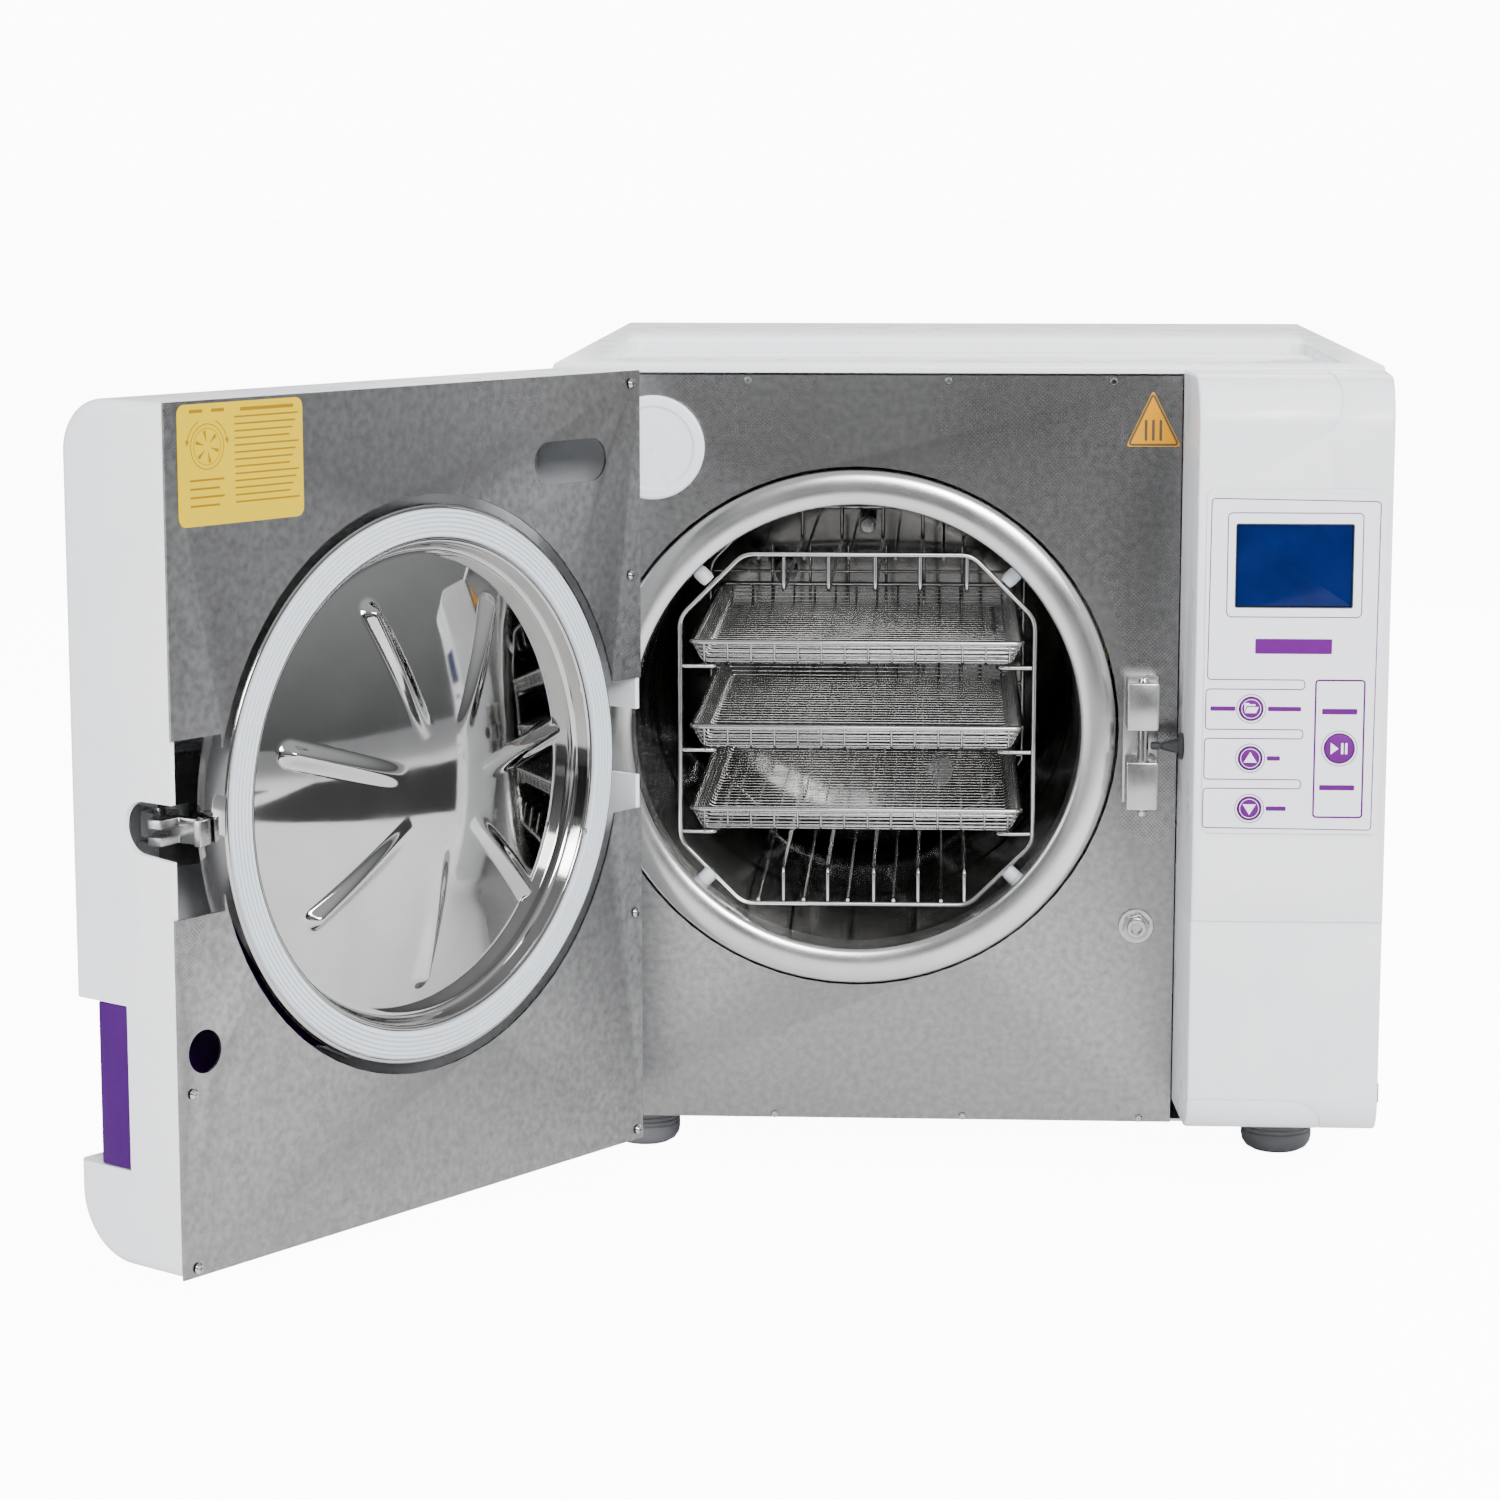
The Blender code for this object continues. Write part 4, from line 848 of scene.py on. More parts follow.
print("flange", len(face), "points on its face; vessel with", len(ports), "ports")

# %% [markdown]
# ## The sealing disc and its gasket
#
# The disc is pressed from thick sheet: a dome that faces the chamber inside a deep rim, stiffened
# by seven fingers. Each finger starts level with the dome near its middle and stays high while the
# dome falls away, so it ends in a tall round tip. Pressed fingers can't be turned, so the dome is
# a polar grid whose depth is the dome's curve plus the height of the nearest finger. The grid is
# dense enough for clean mirror images, and the rim and back are more rows of the same grid, so the
# shell closes.

# %% The dome with its pressed fingers
RIM, FINGERS, TURN_OF_FINGERS = 142.2, 7, radians(16.1)
DOME_TOP, DOME_DROP, DOME_RADIUS = 2.7, 20.0, 117.0
FINGER_START, FINGER_END, FINGER_HALF, FINGER_TALL = 28.0, 98.5, 7.2, 5.6
DISC_ROWS, DISC_COLUMNS = 110, 720


def dome_depth(radius):
    """How far the plain dome lies from the panel's plane."""
    return DOME_TOP - DOME_DROP * (radius / DOME_RADIUS) ** 2


def finger_height(radius, angle):
    """A finger grows out of the dome and ends in a round tip."""
    pitch = 2 * pi / FINGERS
    off = (angle - TURN_OF_FINGERS + pitch / 2) % pitch - pitch / 2
    along = radius * cos(off)
    edge = hypot(radius * sin(off), max(0.0, along - FINGER_END))
    if edge > FINGER_HALF or along < FINGER_START:
        return 0.0
    grown_by = (along - FINGER_START) / (FINGER_END - FINGER_START)
    return FINGER_TALL * min(1.0, grown_by) ** 1.2 * (0.5 + 0.5 * cos(pi * edge / FINGER_HALF))


def disc_mesh():
    rows = [DOME_RADIUS * i / DISC_ROWS for i in range(1, DISC_ROWS + 1)]
    rim_profile = [(118.6, -17.5), (119.9, -17.2), (121.0, -16.3), (121.8, -14.7), (122.4, -9.2),
                   (122.8, -8.2),
                   (123.5, -7.8), (124.8, -7.8), (125.2, -12.3), (140.0, -12.3), (140.3, -7.8),
                   (141.4, -7.8),
                   (RIM, -8.6), (RIM, -27.2), (141.6, -28.0), (139.8, -28.0), (139.2, -27.4),
                   (139.2, -15.5),
                   (125.8, -15.5), (124.9, -18.6), (122.5, -20.4), (117, -20.4), (90, -12.2),
                   (60, -5.7), (30, -1.7)]

    def build(work):
        centre = work.verts.new((0, dome_depth(0), MID_Z))
        back = work.verts.new((0, -0.4, MID_Z))
        columns = []
        for k in range(DISC_COLUMNS):
            t = 2 * pi * k / DISC_COLUMNS
            column = [(radius, dome_depth(radius) + finger_height(radius, t))
                      for radius in rows] + rim_profile
            columns.append([work.verts.new((r * cos(t), y, MID_Z + r * sin(t))) for r,
                            y in column])
        for here, there in zip(columns, columns[1:] + columns[:1]):
            work.faces.new((centre, here[0], there[0]))
            work.faces.new((back, there[-1], here[-1]))
            for i in range(len(here) - 1):
                work.faces.new((here[i], here[i + 1], there[i + 1], there[i]))

    return mesh_of(build)


disc = disc_mesh()
keep("pressed_disc", disc, MIRROR, "disc", "polished_steel", ["sealing_disc"], DOOR, smooth=50)
print("disc:", len(disc.polygons), "faces")

# %% The gasket: silicone with five fine grooves
LOW_R, HIGH_R, SEAL_FACE = 125.6, 139.8, -6.1
GROOVES, GROOVE_PITCH = 5, 2.35
grooved = [(HIGH_R, -12.0), (HIGH_R, SEAL_FACE - 0.8), (HIGH_R - 0.8, SEAL_FACE)]
for i in range(GROOVES):
    at = HIGH_R - 2.0 - GROOVE_PITCH * i
    grooved += [(at + 0.55, SEAL_FACE), (at + 0.25, SEAL_FACE - 0.9), (at - 0.25, SEAL_FACE - 0.9),
                (at - 0.55, SEAL_FACE)]
grooved += [(LOW_R + 0.8, SEAL_FACE), (LOW_R, SEAL_FACE - 0.8), (LOW_R, -12.0)]
keep("grooved_gasket", turned(grooved, (0, 0, MID_Z), steps=240, ring=True), SILICONE, "disc",
     "silicone",
     ["door_gasket"], DOOR, smooth=45)

# %% The small pin that stops the gasket from turning
PIN_FROM_AXIS, PIN_ANGLE = 124.6, 0.33
pin_at = (-PIN_FROM_AXIS * cos(PIN_ANGLE), -9.2, MID_Z - PIN_FROM_AXIS * sin(PIN_ANGLE))
gasket_pin = bar(pin_at, 1.5, 2.6, "Y", 20, 0.4)
keep("gasket_pin", gasket_pin, BRIGHT, "disc", "polished_steel", move=DOOR)

# %% [markdown]
# ## The door's moulded shell
#
# The outer door is one moulding: a deep tray with a large round along its top and bottom front
# edges, softly eased corners, a pocket for the hand and a notch for the latch. The section is
# pushed across the width, hollowed by a smaller copy, and cut by plain tools, then eased.

# %% The shell of the door
DOOR_LEFT, DOOR_RIGHT, DOOR_LOW, DOOR_TOP, DOOR_FRONT = -165.5, 175.5, 30.3, 449.7, -81.5
SHELL_BACK, WALL = -9.5, 3


def front_section(back, front, low, high, top_round, low_round, steps=14):
    return [(back, low),
            *arc(front + low_round, low + low_round, low_round, 270, 180, steps),
            *arc(front + top_round, high - top_round, top_round, 180, 90, steps),
            (back, high)]


shell = prism(front_section(4, DOOR_FRONT, DOOR_LOW, DOOR_TOP, 26, 34), DOOR_LEFT, DOOR_RIGHT, "X")
shell = eased(shell, 6.0, 6, 50)
hollow_section = front_section(20, DOOR_FRONT + WALL, DOOR_LOW + WALL, DOOR_TOP - WALL, 23, 31)
hollow = prism(hollow_section, DOOR_LEFT + WALL, DOOR_RIGHT - WALL, "X")
pocket = block((50, -200, 78.5), (300, -43.5, 160))
notch = prism([(10, 232), *arc(-29, 248, 13, 270, 90, 12), (10, 261)], 160, 190, "X")
hinge_slot = block((-200, -69, 232), (-155, 100, 268))
shell = boolean(shell, [hollow, block((-300, SHELL_BACK, 0), (300, 100, 500)), pocket, notch,
                        hinge_slot])
keep("door_shell", shell, MOULDED_DOOR, "door", "white_plastic", ["door_cover"], DOOR, smooth=30)

# %% The coloured liner of the hand pocket, with three finger ribs along its floor
liner = eased(block((50.3, -65, 78.8), (174.7, -43.8, 159.7)), 1.2, 3)
liner = boolean(liner, [block((53, -62, 81.8), (171.7, 0, 156.7))])
ribs = row(block((60, -66.2, 90), (168, -64.9, 92.5), 0.5, 2), 3, (0, 0, 27.0), PURPLE)
keep("grip_liner", joined(liner, ribs), PURPLE, "door", "purple_plastic", ["handle_insert"], DOOR)

# %% The pocket's own walls, between the shell's face and the liner
ledges = [block((48, -79.5, low), (173, -64.2, low + 1.9)) for low in (76.5, 160.1)]
inner_end = block((48, -79.5, 78.4), (49.9, -64.2, 160.1))
keep("grip_walls", joined(*ledges, inner_end), MOULDED_DOOR, "door", "white_plastic", move=DOOR)

# %% Screws along the sheets of the door
door_screws = [(-158.2, 443.0), (-157.5, 341.0), (-159.8, 157.0), (-161.0, 35.7), (167.0, 120.7),
               (166.4, 34.8)]
screws("door_sheet_screws", [(x, -7.2, z) for x, z in door_screws], 2.7, FACE_BACK, "door",
       move=DOOR, tall=1.3)
print("door shell, liner and", len(door_screws), "screws")

# %% [markdown]
# ## The control housing and its lower part
#
# The housing stands in front of the cabinet's right-hand side. Its section has the same large
# rounds as the door, and both its sides lean in towards the front, as every moulding does so that
# it can leave its mould. It is parted from the lower fascia by a fine seam. A shallow groove runs
# down over the top round and another frames the bottom, where two mouldings meet.

# %% The housing's tapered section
PANEL_RIGHT, SIDE_RIGHT, TOP = 177.5, 287.0, 450.0
HOUSING_FRONT, HOUSING_LOW, SEAM_Z = -77.0, 38.0, 156.6
HOUSING_HIGH = TOP - 2.5
LEAN_LEFT, LEAN_RIGHT, LEAN_MIDDLE_X = 3.8, 3.0, 232


def leaning(mesh):
    """Both sides lean in: 3.8 mm on the left and 3 mm on the right over the housing's depth."""
    for vertex in mesh.vertices:
        share = max(0.0, -vertex.co.y) / -HOUSING_FRONT
        vertex.co.x += LEAN_LEFT * share if vertex.co.x < LEAN_MIDDLE_X else -LEAN_RIGHT * share
    return mesh


def housing_solid(inset, front):
    outline = front_section(-0.3 if inset == 0 else 10, front + inset, HOUSING_LOW + inset,
                            HOUSING_HIGH - inset,
                            26 - inset, 22 - inset)
    return leaning(prism(outline, PANEL_RIGHT + 0.6 + inset, SIDE_RIGHT - inset, "X"))


def groove(path, width, depth, front):
    """A cutter that follows (x, z) points and reaches this deep below the housing's outer face."""
    left, right = [], []
    for i, (x, z) in enumerate(path):
        ahead, behind = path[min(i + 1, len(path) - 1)], path[max(i - 1, 0)]
        along = Vector((ahead[0] - behind[0], ahead[1] - behind[1])).normalized() * width / 2
        left.append((x - along.y, z + along.x))
        right.append((x + along.y, z - along.x))
    ribbon = prism(left + right[::-1], -120, -20)
    return boolean(ribbon, [housing_solid(depth, front)])


upper_line = [(251.0, 452.0), (253.6, 447.2), (255.8, 442.6), (256.5, 438.2), (256.2, 433.6),
              (255.0, 428.6),
              (253.0, 423.6), (250.4, 419.8), (247.4, 417.0)]
housing = eased(housing_solid(0, HOUSING_FRONT), 1.6, 4, 50)
tools = [housing_solid(3, HOUSING_FRONT), block((0, -200, -100), (400, 100, SEAM_Z + 0.15)),
         groove(upper_line, 0.9, 0.7, HOUSING_FRONT),
         block((190.5, -90, 209), (276.5, -60, 385)), bar((160, -25, 243.5), 6.2, 40, "X", 40)]
housing = eased(boolean(housing, tools), 0.25, 2, 60)
keep("housing_shell", housing, MOULDED, "cabinet", "white_plastic", ["control_housing"], smooth=30)

# %% The lower fascia, 1.2 mm behind the housing's face, with a framed foot
fascia = eased(housing_solid(0, HOUSING_FRONT + 1.2), 1.6, 4, 50)
foot_line = [(180.0, 57.6), (236.3, 57.6), (242.0, 56.8), (246.2, 54.8), (249.4, 52.4),
             (251.7, 49.9), (252.9, 47.6),
             (253.8, 44.0), (254.4, 36.0)]
switch_hole = block((270, -52.5, 50), (300, -29.5, 63))
tools = [housing_solid(3, HOUSING_FRONT + 1.2), block((0, -200, SEAM_Z - 0.15), (400, 100, 1000)),
         groove(foot_line, 0.9, 0.6, HOUSING_FRONT + 1.2), switch_hole]
fascia = eased(boolean(fascia, tools), 0.25, 2, 60)
keep("fascia_shell", fascia, MOULDED, "cabinet", "white_plastic", ["lower_fascia"], smooth=30)
print("housing and fascia:", len(housing.polygons), "and", len(fascia.polygons), "faces")

# %% [markdown]
# ## The membrane panel
#
# The keys, lines and windows of such a panel are printed on one thin film that is stuck into a
# slightly sunk field. The film is a rounded plate with real openings for the screen and keys. Each
# printed line is a closed ribbon of ink a few hundredths of a millimetre thick: a path offset to
# both sides, which keeps it crisp at any distance, where a pattern in a material would blur.

# %% The film and its openings
film_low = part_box("membrane_panel")[0]
FILM_FACE = (film_low.y - PANEL_Y) / MM
FILM = (186.4, 205.0, 280.7, 389.2)
KEYS = {"start_key": (258.6, 251.1, 7.9), "select_key": (211.6, 272.1, 6.2),
        "up_key": (211.6, 245.5, 6.2),
        "down_key": (211.6, 218.4, 6.2)}
SCREEN = (202.5, 326.7, 263.2, 370.0)
film = prism(rounded_box(*FILM, 5.0, 10), FILM_FACE, HOUSING_FRONT - 0.3, bevel=0.25)
windows = [prism(rounded_box(SCREEN[0] - 0.8, SCREEN[1] - 0.8, SCREEN[2] + 0.8, SCREEN[3] + 0.8,
                             1.2, 5), -100, -50)]
windows += [bar((x, -100, z), radius + 0.4, 50, "Y", 64) for x, z, radius in KEYS.values()]
keep("membrane_film", boolean(film, windows), MEMBRANE, "cabinet", "white_plastic",
     ["membrane_panel"])


def ribbon(path, width, face, thick=0.06, closed=True):
    """A flat line of ink that follows (x, z) points on an upright face."""
    count, points = len(path), [Vector(p) for p in path]

    def normal(i):
        ahead = points[(i + 1) % count if closed else min(i + 1, count - 1)]
        behind = points[i - 1 if closed or i else 0]
        along = (ahead - behind).normalized()
        return Vector((-along.y, along.x)) * width / 2

    sides = [(p + normal(i), p - normal(i)) for i, p in enumerate(points)]

    def build(work):
        rings = [[work.verts.new((q.x, y, q.y)) for q, y in
                  ((a, face), (b, face), (b, face - thick), (a, face - thick))] for a, b in sides]
        for here, there in zip(rings, rings[1:] + (rings[:1] if closed else [])):
            for k in range(4):
                m = (k + 1) % 4
                work.faces.new((here[k], here[m], there[m], there[k]))
        if not closed:
            work.faces.new(rings[0])
            work.faces.new(rings[-1])

    return mesh_of(build)


def softened(points, radius=2.0, steps=5):
    """Closed (x, z) points with every corner rounded."""
    path = bent([(x, z, 0) for x, z in points], radius, steps, cyclic=True)
    return [(p.x, p.y) for p in path]


# %% The printed outlines
outline = [(188.9, 384.0), (277.4, 382.6), (276.2, 207.2), (186.9, 207.9), (187.0, 229.2),
           (238.6, 229.2),
           (238.6, 234.1), (187.2, 234.1), (187.3, 256.1), (239.2, 256.1), (239.2, 261.0),
           (187.5, 261.0),
           (187.6, 282.6), (239.6, 282.6), (239.6, 287.7), (188.2, 287.7)]
frame_of_screen = rounded_box(197.6, 321.2, 268.5, 376.4, 2.5, 6)
start_box = rounded_box(245.5, 214.0, 271.2, 287.6, 1.6, 5)
lines = [ribbon(softened(outline, 2.2), 0.5, FILM_FACE), ribbon(frame_of_screen, 0.5, FILM_FACE),
         ribbon(start_box, 0.95, FILM_FACE)]
rings = [ribbon(arc(x, z, radius + 1.5, 0, 360, 64)[:-1], 0.35, FILM_FACE) for x, z,
         radius in KEYS.values()]
bars = [(213.0, 301.6, 253.5, 309.6), (249.0, 269.4, 267.6, 272.4), (248.4, 228.6, 267.0, 231.4),
        (190.0, 270.9, 203.2, 273.3), (220.4, 270.9, 238.0, 273.3), (220.4, 244.3, 227.4, 246.7),
        (220.4, 217.2, 231.0, 219.6)]
plates = [prism(rounded_box(*edges, 0.6, 3), FILM_FACE - 0.06, FILM_FACE) for edges in bars]
keep("printed_lines", joined(*lines, *rings, *plates), KEY_PURPLE, "cabinet", "key_purple")
print(len(lines) + len(rings), "printed lines and", len(plates), "label bars")

# %% [markdown]
# ## Keys and screen
#
# Each key is a low round cap with a plain sign on it: an arrow up, an arrow down, a folder and a
# start-or-pause pair. The caps ride on their own bodies, so that they can be pressed.


# %% The keys and their signs
def key_dome(x, z, radius):
    front = FILM_FACE - 0.4
    return turned([(0, front), (radius - 1.2, front), (radius - 0.4, front + 0.25),
                   (radius, front + 0.8),
                   (radius, front + 2.4), (0, front + 2.4)], (x, 0, z), steps=72)


def sign(outlines, x, z):
    face = FILM_FACE - 0.4
    return joined(*[prism([(x + a, z + b) for a, b in outline], face - 0.05, face - 0.002)
                    for outline in outlines])


SIGNS = {
    "start_key": [[(-4.6, -3.1), (-0.4, 0.0), (-4.6, 3.1)],
                  rounded_box(0.9, -3.0, 2.1, 3.0, 0.3, 3),
                  rounded_box(3.0, -3.0, 4.2, 3.0, 0.3, 3)],
    "select_key": [[(-3.4, -2.2), (2.6, -2.2), (3.9, 1.0), (-1.9, 1.0)],
                   [(-3.6, -1.6), (-2.3, 1.6), (2.2, 1.6), (2.2, 2.5), (-0.6, 2.5), (-1.2, 3.1),
                    (-3.6, 3.1)]],
    "up_key": [[(-3.5, -2.3), (3.5, -2.3), (0.0, 3.4)]],
    "down_key": [[(-3.5, 2.3), (0.0, -3.4), (3.5, 2.3)]],
}
for name, (x, z, radius) in KEYS.items():
    keep(name + "_dome", key_dome(x, z, radius), KEY_PURPLE, name, "key_purple", [name])
    if name == "start_key":
        marks = sign(SIGNS[name], x, z)
    else:
        marks = joined(sign(SIGNS[name], x, z),
                       ribbon(arc(x, z, radius - 1.15, 0, 360, 48)[:-1], 0.3,
                                                       FILM_FACE - 0.4, 0.05))
    keep(name + "_sign", marks, KEY_WHITE, name, "white_plastic")

# %% The screen: glass over a deep blue field with faint rows, and a black lip round it
SCREEN_FACE = HOUSING_FRONT + 0.2


def screen_material():
    material = bpy.data.materials.new("lit_screen")
    material.use_nodes = True
    tree = material.node_tree
    shader = tree.nodes["Principled BSDF"]
    place = add(tree, "ShaderNodeTexCoord").outputs["Object"]
    scaled = add(tree, "ShaderNodeMapping",
                 {"Vector": place, "Scale": (1 / MM,) * 3}).outputs["Vector"]
    axes = add(tree, "ShaderNodeSeparateXYZ", {"Vector": scaled}).outputs
    rows = maths(tree, "ABSOLUTE",
                 maths(tree, "SINE", maths(tree, "MULTIPLY", axes["Z"], pi / 0.55)))
    columns = maths(tree, "ABSOLUTE",
                    maths(tree, "SINE", maths(tree, "MULTIPLY", axes["X"], pi / 0.55)))
    dots = maths(tree, "MULTIPLY", rows, columns)
    drift = spread(tree, noise(tree, scaled, 0.045, 2), 0.3, 0.7)
    field = add(tree, "ShaderNodeMix",
                {0: drift, 6: (0.0006, 0.004, 0.040, 1), 7: (0.0012, 0.0075, 0.062, 1)},
                data_type="RGBA").outputs[2]
    lit = add(tree, "ShaderNodeMix",
              {0: maths(tree, "MULTIPLY", dots, 0.35), 6: field, 7: (0.003, 0.014, 0.09, 1)},
              data_type="RGBA").outputs[2]
    tree.links.new(lit, shader.inputs["Base Color"])
    tree.links.new(lit, shader.inputs["Emission Color"])
    marks = add(tree, "ShaderNodeGroup", {"Vector": scaled, "Size": 12.0},
                node_tree=handling_marks)
    tree.links.new(spread(tree, marks.outputs["Mask"], 0, 1, 0.05, 0.16),
                   shader.inputs["Roughness"])
    shader.inputs["Emission Strength"].default_value = 0.35
    shader.inputs["Specular IOR Level"].default_value = 0.12
    return material


LIT = screen_material()
left, low, right, high = SCREEN
glass = prism(rounded_box(left, low, right, high, 0.8, 4), SCREEN_FACE, HOUSING_FRONT + 9,
              bevel=0.3)
keep("screen_glass", glass, LIT, "cabinet", "display_blue", ["display_module"])
lip = ribbon(rounded_box(left - 0.5, low - 0.5, right + 0.5, high + 0.5, 1.0, 5), 0.5,
             HOUSING_FRONT - 0.32, 0.5)
keep("screen_lip", lip, BLACK, "cabinet", "black_plastic")
print(len(KEYS), "keys and one screen")

# %% [markdown]
# ## The top cover
#
# The lid is a moulded tray: its front part is sunk to hold instruments, with three lens-shaped
# lands along the front for water bottles to rest on, and three low buttons at the back. It is cut
# from a block as the frame's solid is, then every edge is eased.

# %% The lid
LEFT, BACK, LID_LOW, PANEL_TOP = -167.5, 500.0, 440.5, 443.5
lid = eased(block((LEFT, 0, LID_LOW), (SIDE_RIGHT, BACK, TOP)), 2.5, 4)
hollow = block((LEFT + 3, 3, LID_LOW - 10), (SIDE_RIGHT - 3, BACK - 3, TOP - 3))
front_gap = block((LEFT - 3, -3, 0), (SIDE_RIGHT + 3, 4, PANEL_TOP + 1.2))
lid = boolean(lid, [hollow, front_gap])
sunk_low, sunk_high = (LEFT + 22, 16, TOP - 6), (SIDE_RIGHT - 22, 235, TOP + 10)
shelf = block((sunk_low[0] - 3, sunk_low[1] - 3, TOP - 9),
              (sunk_high[0] + 3, sunk_high[1] + 3, TOP - 1))
lid = boolean(lid, [shelf], "UNION")
shelf_outline = rounded_box(*sunk_low[:2], *sunk_high[:2], 9, 8)
tray_space = prism(shelf_outline, TOP - 6, TOP + 10, "Z")
lands = []
for x, wide in ((-125, 26), (62, 24), (239, 26)):
    curve = [(x - wide + 2 * wide * i / 24, 14 + 34 * sin(pi * i / 24)) for i in range(25)]
    lands.append(prism([(x - wide, 8)] + curve[1:-1] + [(x + wide, 8)], TOP - 8, TOP + 12, "Z"))
tray_space = boolean(tray_space, lands)
lid = eased(boolean(lid, [tray_space]), 1.1, 3, 60)
keep("lid_shell", lid, MOULDED, "cabinet", "white_plastic", ["top_cover"], smooth=32)

# %% Low round buttons on the rear part of the lid
buttons = [turned([(0, 0.35), (6.0, 0.3), (7.4, 0.0), (7.9, -0.5), (7.9, -1.5), (0, -1.5)],
                  (x, 330, TOP - 0.36), "Z", 48)
           for x in (-142, 60, 250)]
keep("lid_buttons", joined(*buttons), MOULDED, "cabinet", "white_plastic", smooth=60)
print("lid:", len(lid.polygons), "faces")

# %% [markdown]
# ## Feet
#
# Four round rubber feet carry the weight. Each is a turned profile with a ribbed side, so that
# fingers can grip it when it is screwed up or down to level the machine.

# %% The feet
for row_name in ("front", "rear"):
    for side in ("left", "right"):
        node = f"foot_{row_name}_{side}"
        low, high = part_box(node)
        centre = ((low.x + high.x) / 2 - AXIS_X) / MM, ((low.y + high.y) / 2 - PANEL_Y) / MM
        radius, top = (high.x - low.x) / 2 / MM, high.z / MM
        profile = [(0, top), (radius - 0.8, top), (radius, top - 0.8)]
        for i in range(5):
            z = top - 3.2 - 2.6 * i
            profile += [(radius, z + 0.7), (radius - 0.7, z), (radius, z - 0.7)]
        profile += [(radius, 8.0), (radius - 0.6, 5.0), (radius - 2.5, 2.0), (radius - 6, 0),
                    (radius - 9, 0.0),
                    (radius - 10, 1.2), (0, 1.2)]
        keep(node + "_pad", turned(profile, (*centre, 0), "Z", 72), RUBBER, "cabinet",
             "dark_rubber", [node])

# %% [markdown]
# ## The wire rack
#
# The rack is a cage of bent and welded round wire: two eight-sided frames, three pairs of rails
# for the trays, and long wires along the top and the bottom. Half of the long wires are straight;
# the others bend in at both ends, so they run a finger's width inside the cage. A wire is a path
# with rounded bends and a round section swept along it.

# %% The cage
WIRE_R = 1.5
RACK_Z, HALF, CORNER = 244.0, 99.0, 63.5
RACK_FRONT, RACK_BACK = 18.0, 305.0
RAILS, RAIL_X = (185.2, 231.8, 279.5), 79.0


def eight_sided(y, radius=WIRE_R):
    corners = [(HALF, CORNER), (CORNER, HALF), (-CORNER, HALF), (-HALF, CORNER),
               (-HALF, -CORNER), (-CORNER, -HALF), (CORNER, -HALF), (HALF, -CORNER)]
    return wire([(x, y, RACK_Z + z) for x, z in corners], radius, 6, cyclic=True, sides=14,
                steps=6)


keep("rack_front_wire", eight_sided(RACK_FRONT), BRIGHT, "rack", "wire_steel",
     ["rack_front_frame"], smooth=60)

PRONG_X = (-41.0, -16.0, 10.0, 35.0, 61.0)
STRAIGHT_X = (-55.0, -29.5, -4.6, 21.2, 48.0)
PRONG_R, PRONG_REACH, STRAIGHT_R, MESH_R = 1.2, 20.5, 0.95, 0.9
RACK_HIGH, RACK_LOW = RACK_Z + HALF, RACK_Z - HALF
long_wires = []
for edge_z, inward in ((RACK_HIGH, -1), (RACK_LOW, 1)):
    near, far = RACK_FRONT + 1.8, RACK_BACK - 1.8
    level = edge_z + PRONG_REACH * inward
    for x in PRONG_X:
        corners = [(x, near, edge_z), (x, near, level), (x, far, level), (x, far, edge_z)]
        long_wires.append(wire(corners, PRONG_R, 4.5, sides=10))
    for x in STRAIGHT_X:
        z = edge_z + 2.2 * inward
        long_wires.append(wire([(x, RACK_FRONT - 0.6, z), (x, RACK_BACK + 0.6, z)], STRAIGHT_R, 0,
                               sides=10))
rear_ends = [((x, RACK_BACK, 170), (x, RACK_BACK, 318)) for x in range(-60, 61, 24)]
rear_ends += [((-97, RACK_BACK, z), (97, RACK_BACK, z)) for z in (205, 256, 302)]
rear_mesh = [wire(ends, MESH_R, 0, sides=8) for ends in rear_ends]
keep("rack_rear_wire", joined(eight_sided(RACK_BACK), *long_wires, *rear_mesh), BRIGHT, "rack",
     "wire_steel", ["rack_rear_frame"], smooth=60)
print(len(long_wires), "long wires")

# %% The tray rails: a bent prong, a long rail and a prong, at three heights on each side
for side, sign_x in (("left", -1), ("right", 1)):
    outer, inner = sign_x * HALF, sign_x * RAIL_X
    start, end = RACK_FRONT + 3.3, RACK_BACK - 3.3
    uprights = [wire([(outer, y, RAILS[0] - 3), (outer, y, RAILS[-1] + 12)], WIRE_R, 0, sides=12)
                for y in (start, end)]
    rails = [wire([(outer, start, z), (inner, start, z), (inner, end, z), (outer, end, z)],
                  WIRE_R * 0.98, 3.5,
                  sides=12) for z in RAILS]
    keep(f"rack_{side}_rails", joined(*uprights, *rails), BRIGHT, "rack", "wire_steel",
         [f"rack_{side}_side"], smooth=60)

# %% Silicone buffers that centre the rack in the chamber
buffers = []
for x, z in ((-84, 329), (84, 329), (-82, 162), (86, 164)):
    outward = Vector((x, 0, z - RACK_Z)).normalized()
    tip = Vector((x, RACK_FRONT, z)) - outward * 1.0
    sleeve = turned([(1.7, -1.0), (3.6, -1.0), (4.3, 1.5), (4.3, 6.5), (3.2, 8.2), (1.7, 8.2)],
                    (0, 0, 0), "Z", 32,
                    ring=True)
    turned_out = outward.to_track_quat("Z", "Y").to_matrix().to_4x4()
    sleeve.transform(Matrix.Translation(tip) @ turned_out)
    buffers.append(sleeve)
keep("rack_buffers", joined(*buffers), BUFFER, "rack", "silicone", smooth=60)
print(len(buffers), "buffers")

# %% [markdown]
# ## The trays
#
# A tray is a shallow basket. Cross wires run down one side, over the floor and up the other side;
# long wires do the same from end to end under them; level rings tie the walls together; and a
# thicker rim wire closes the top. The two families of parallel wires are rows from the row tree,
# each grown from a single bent wire.

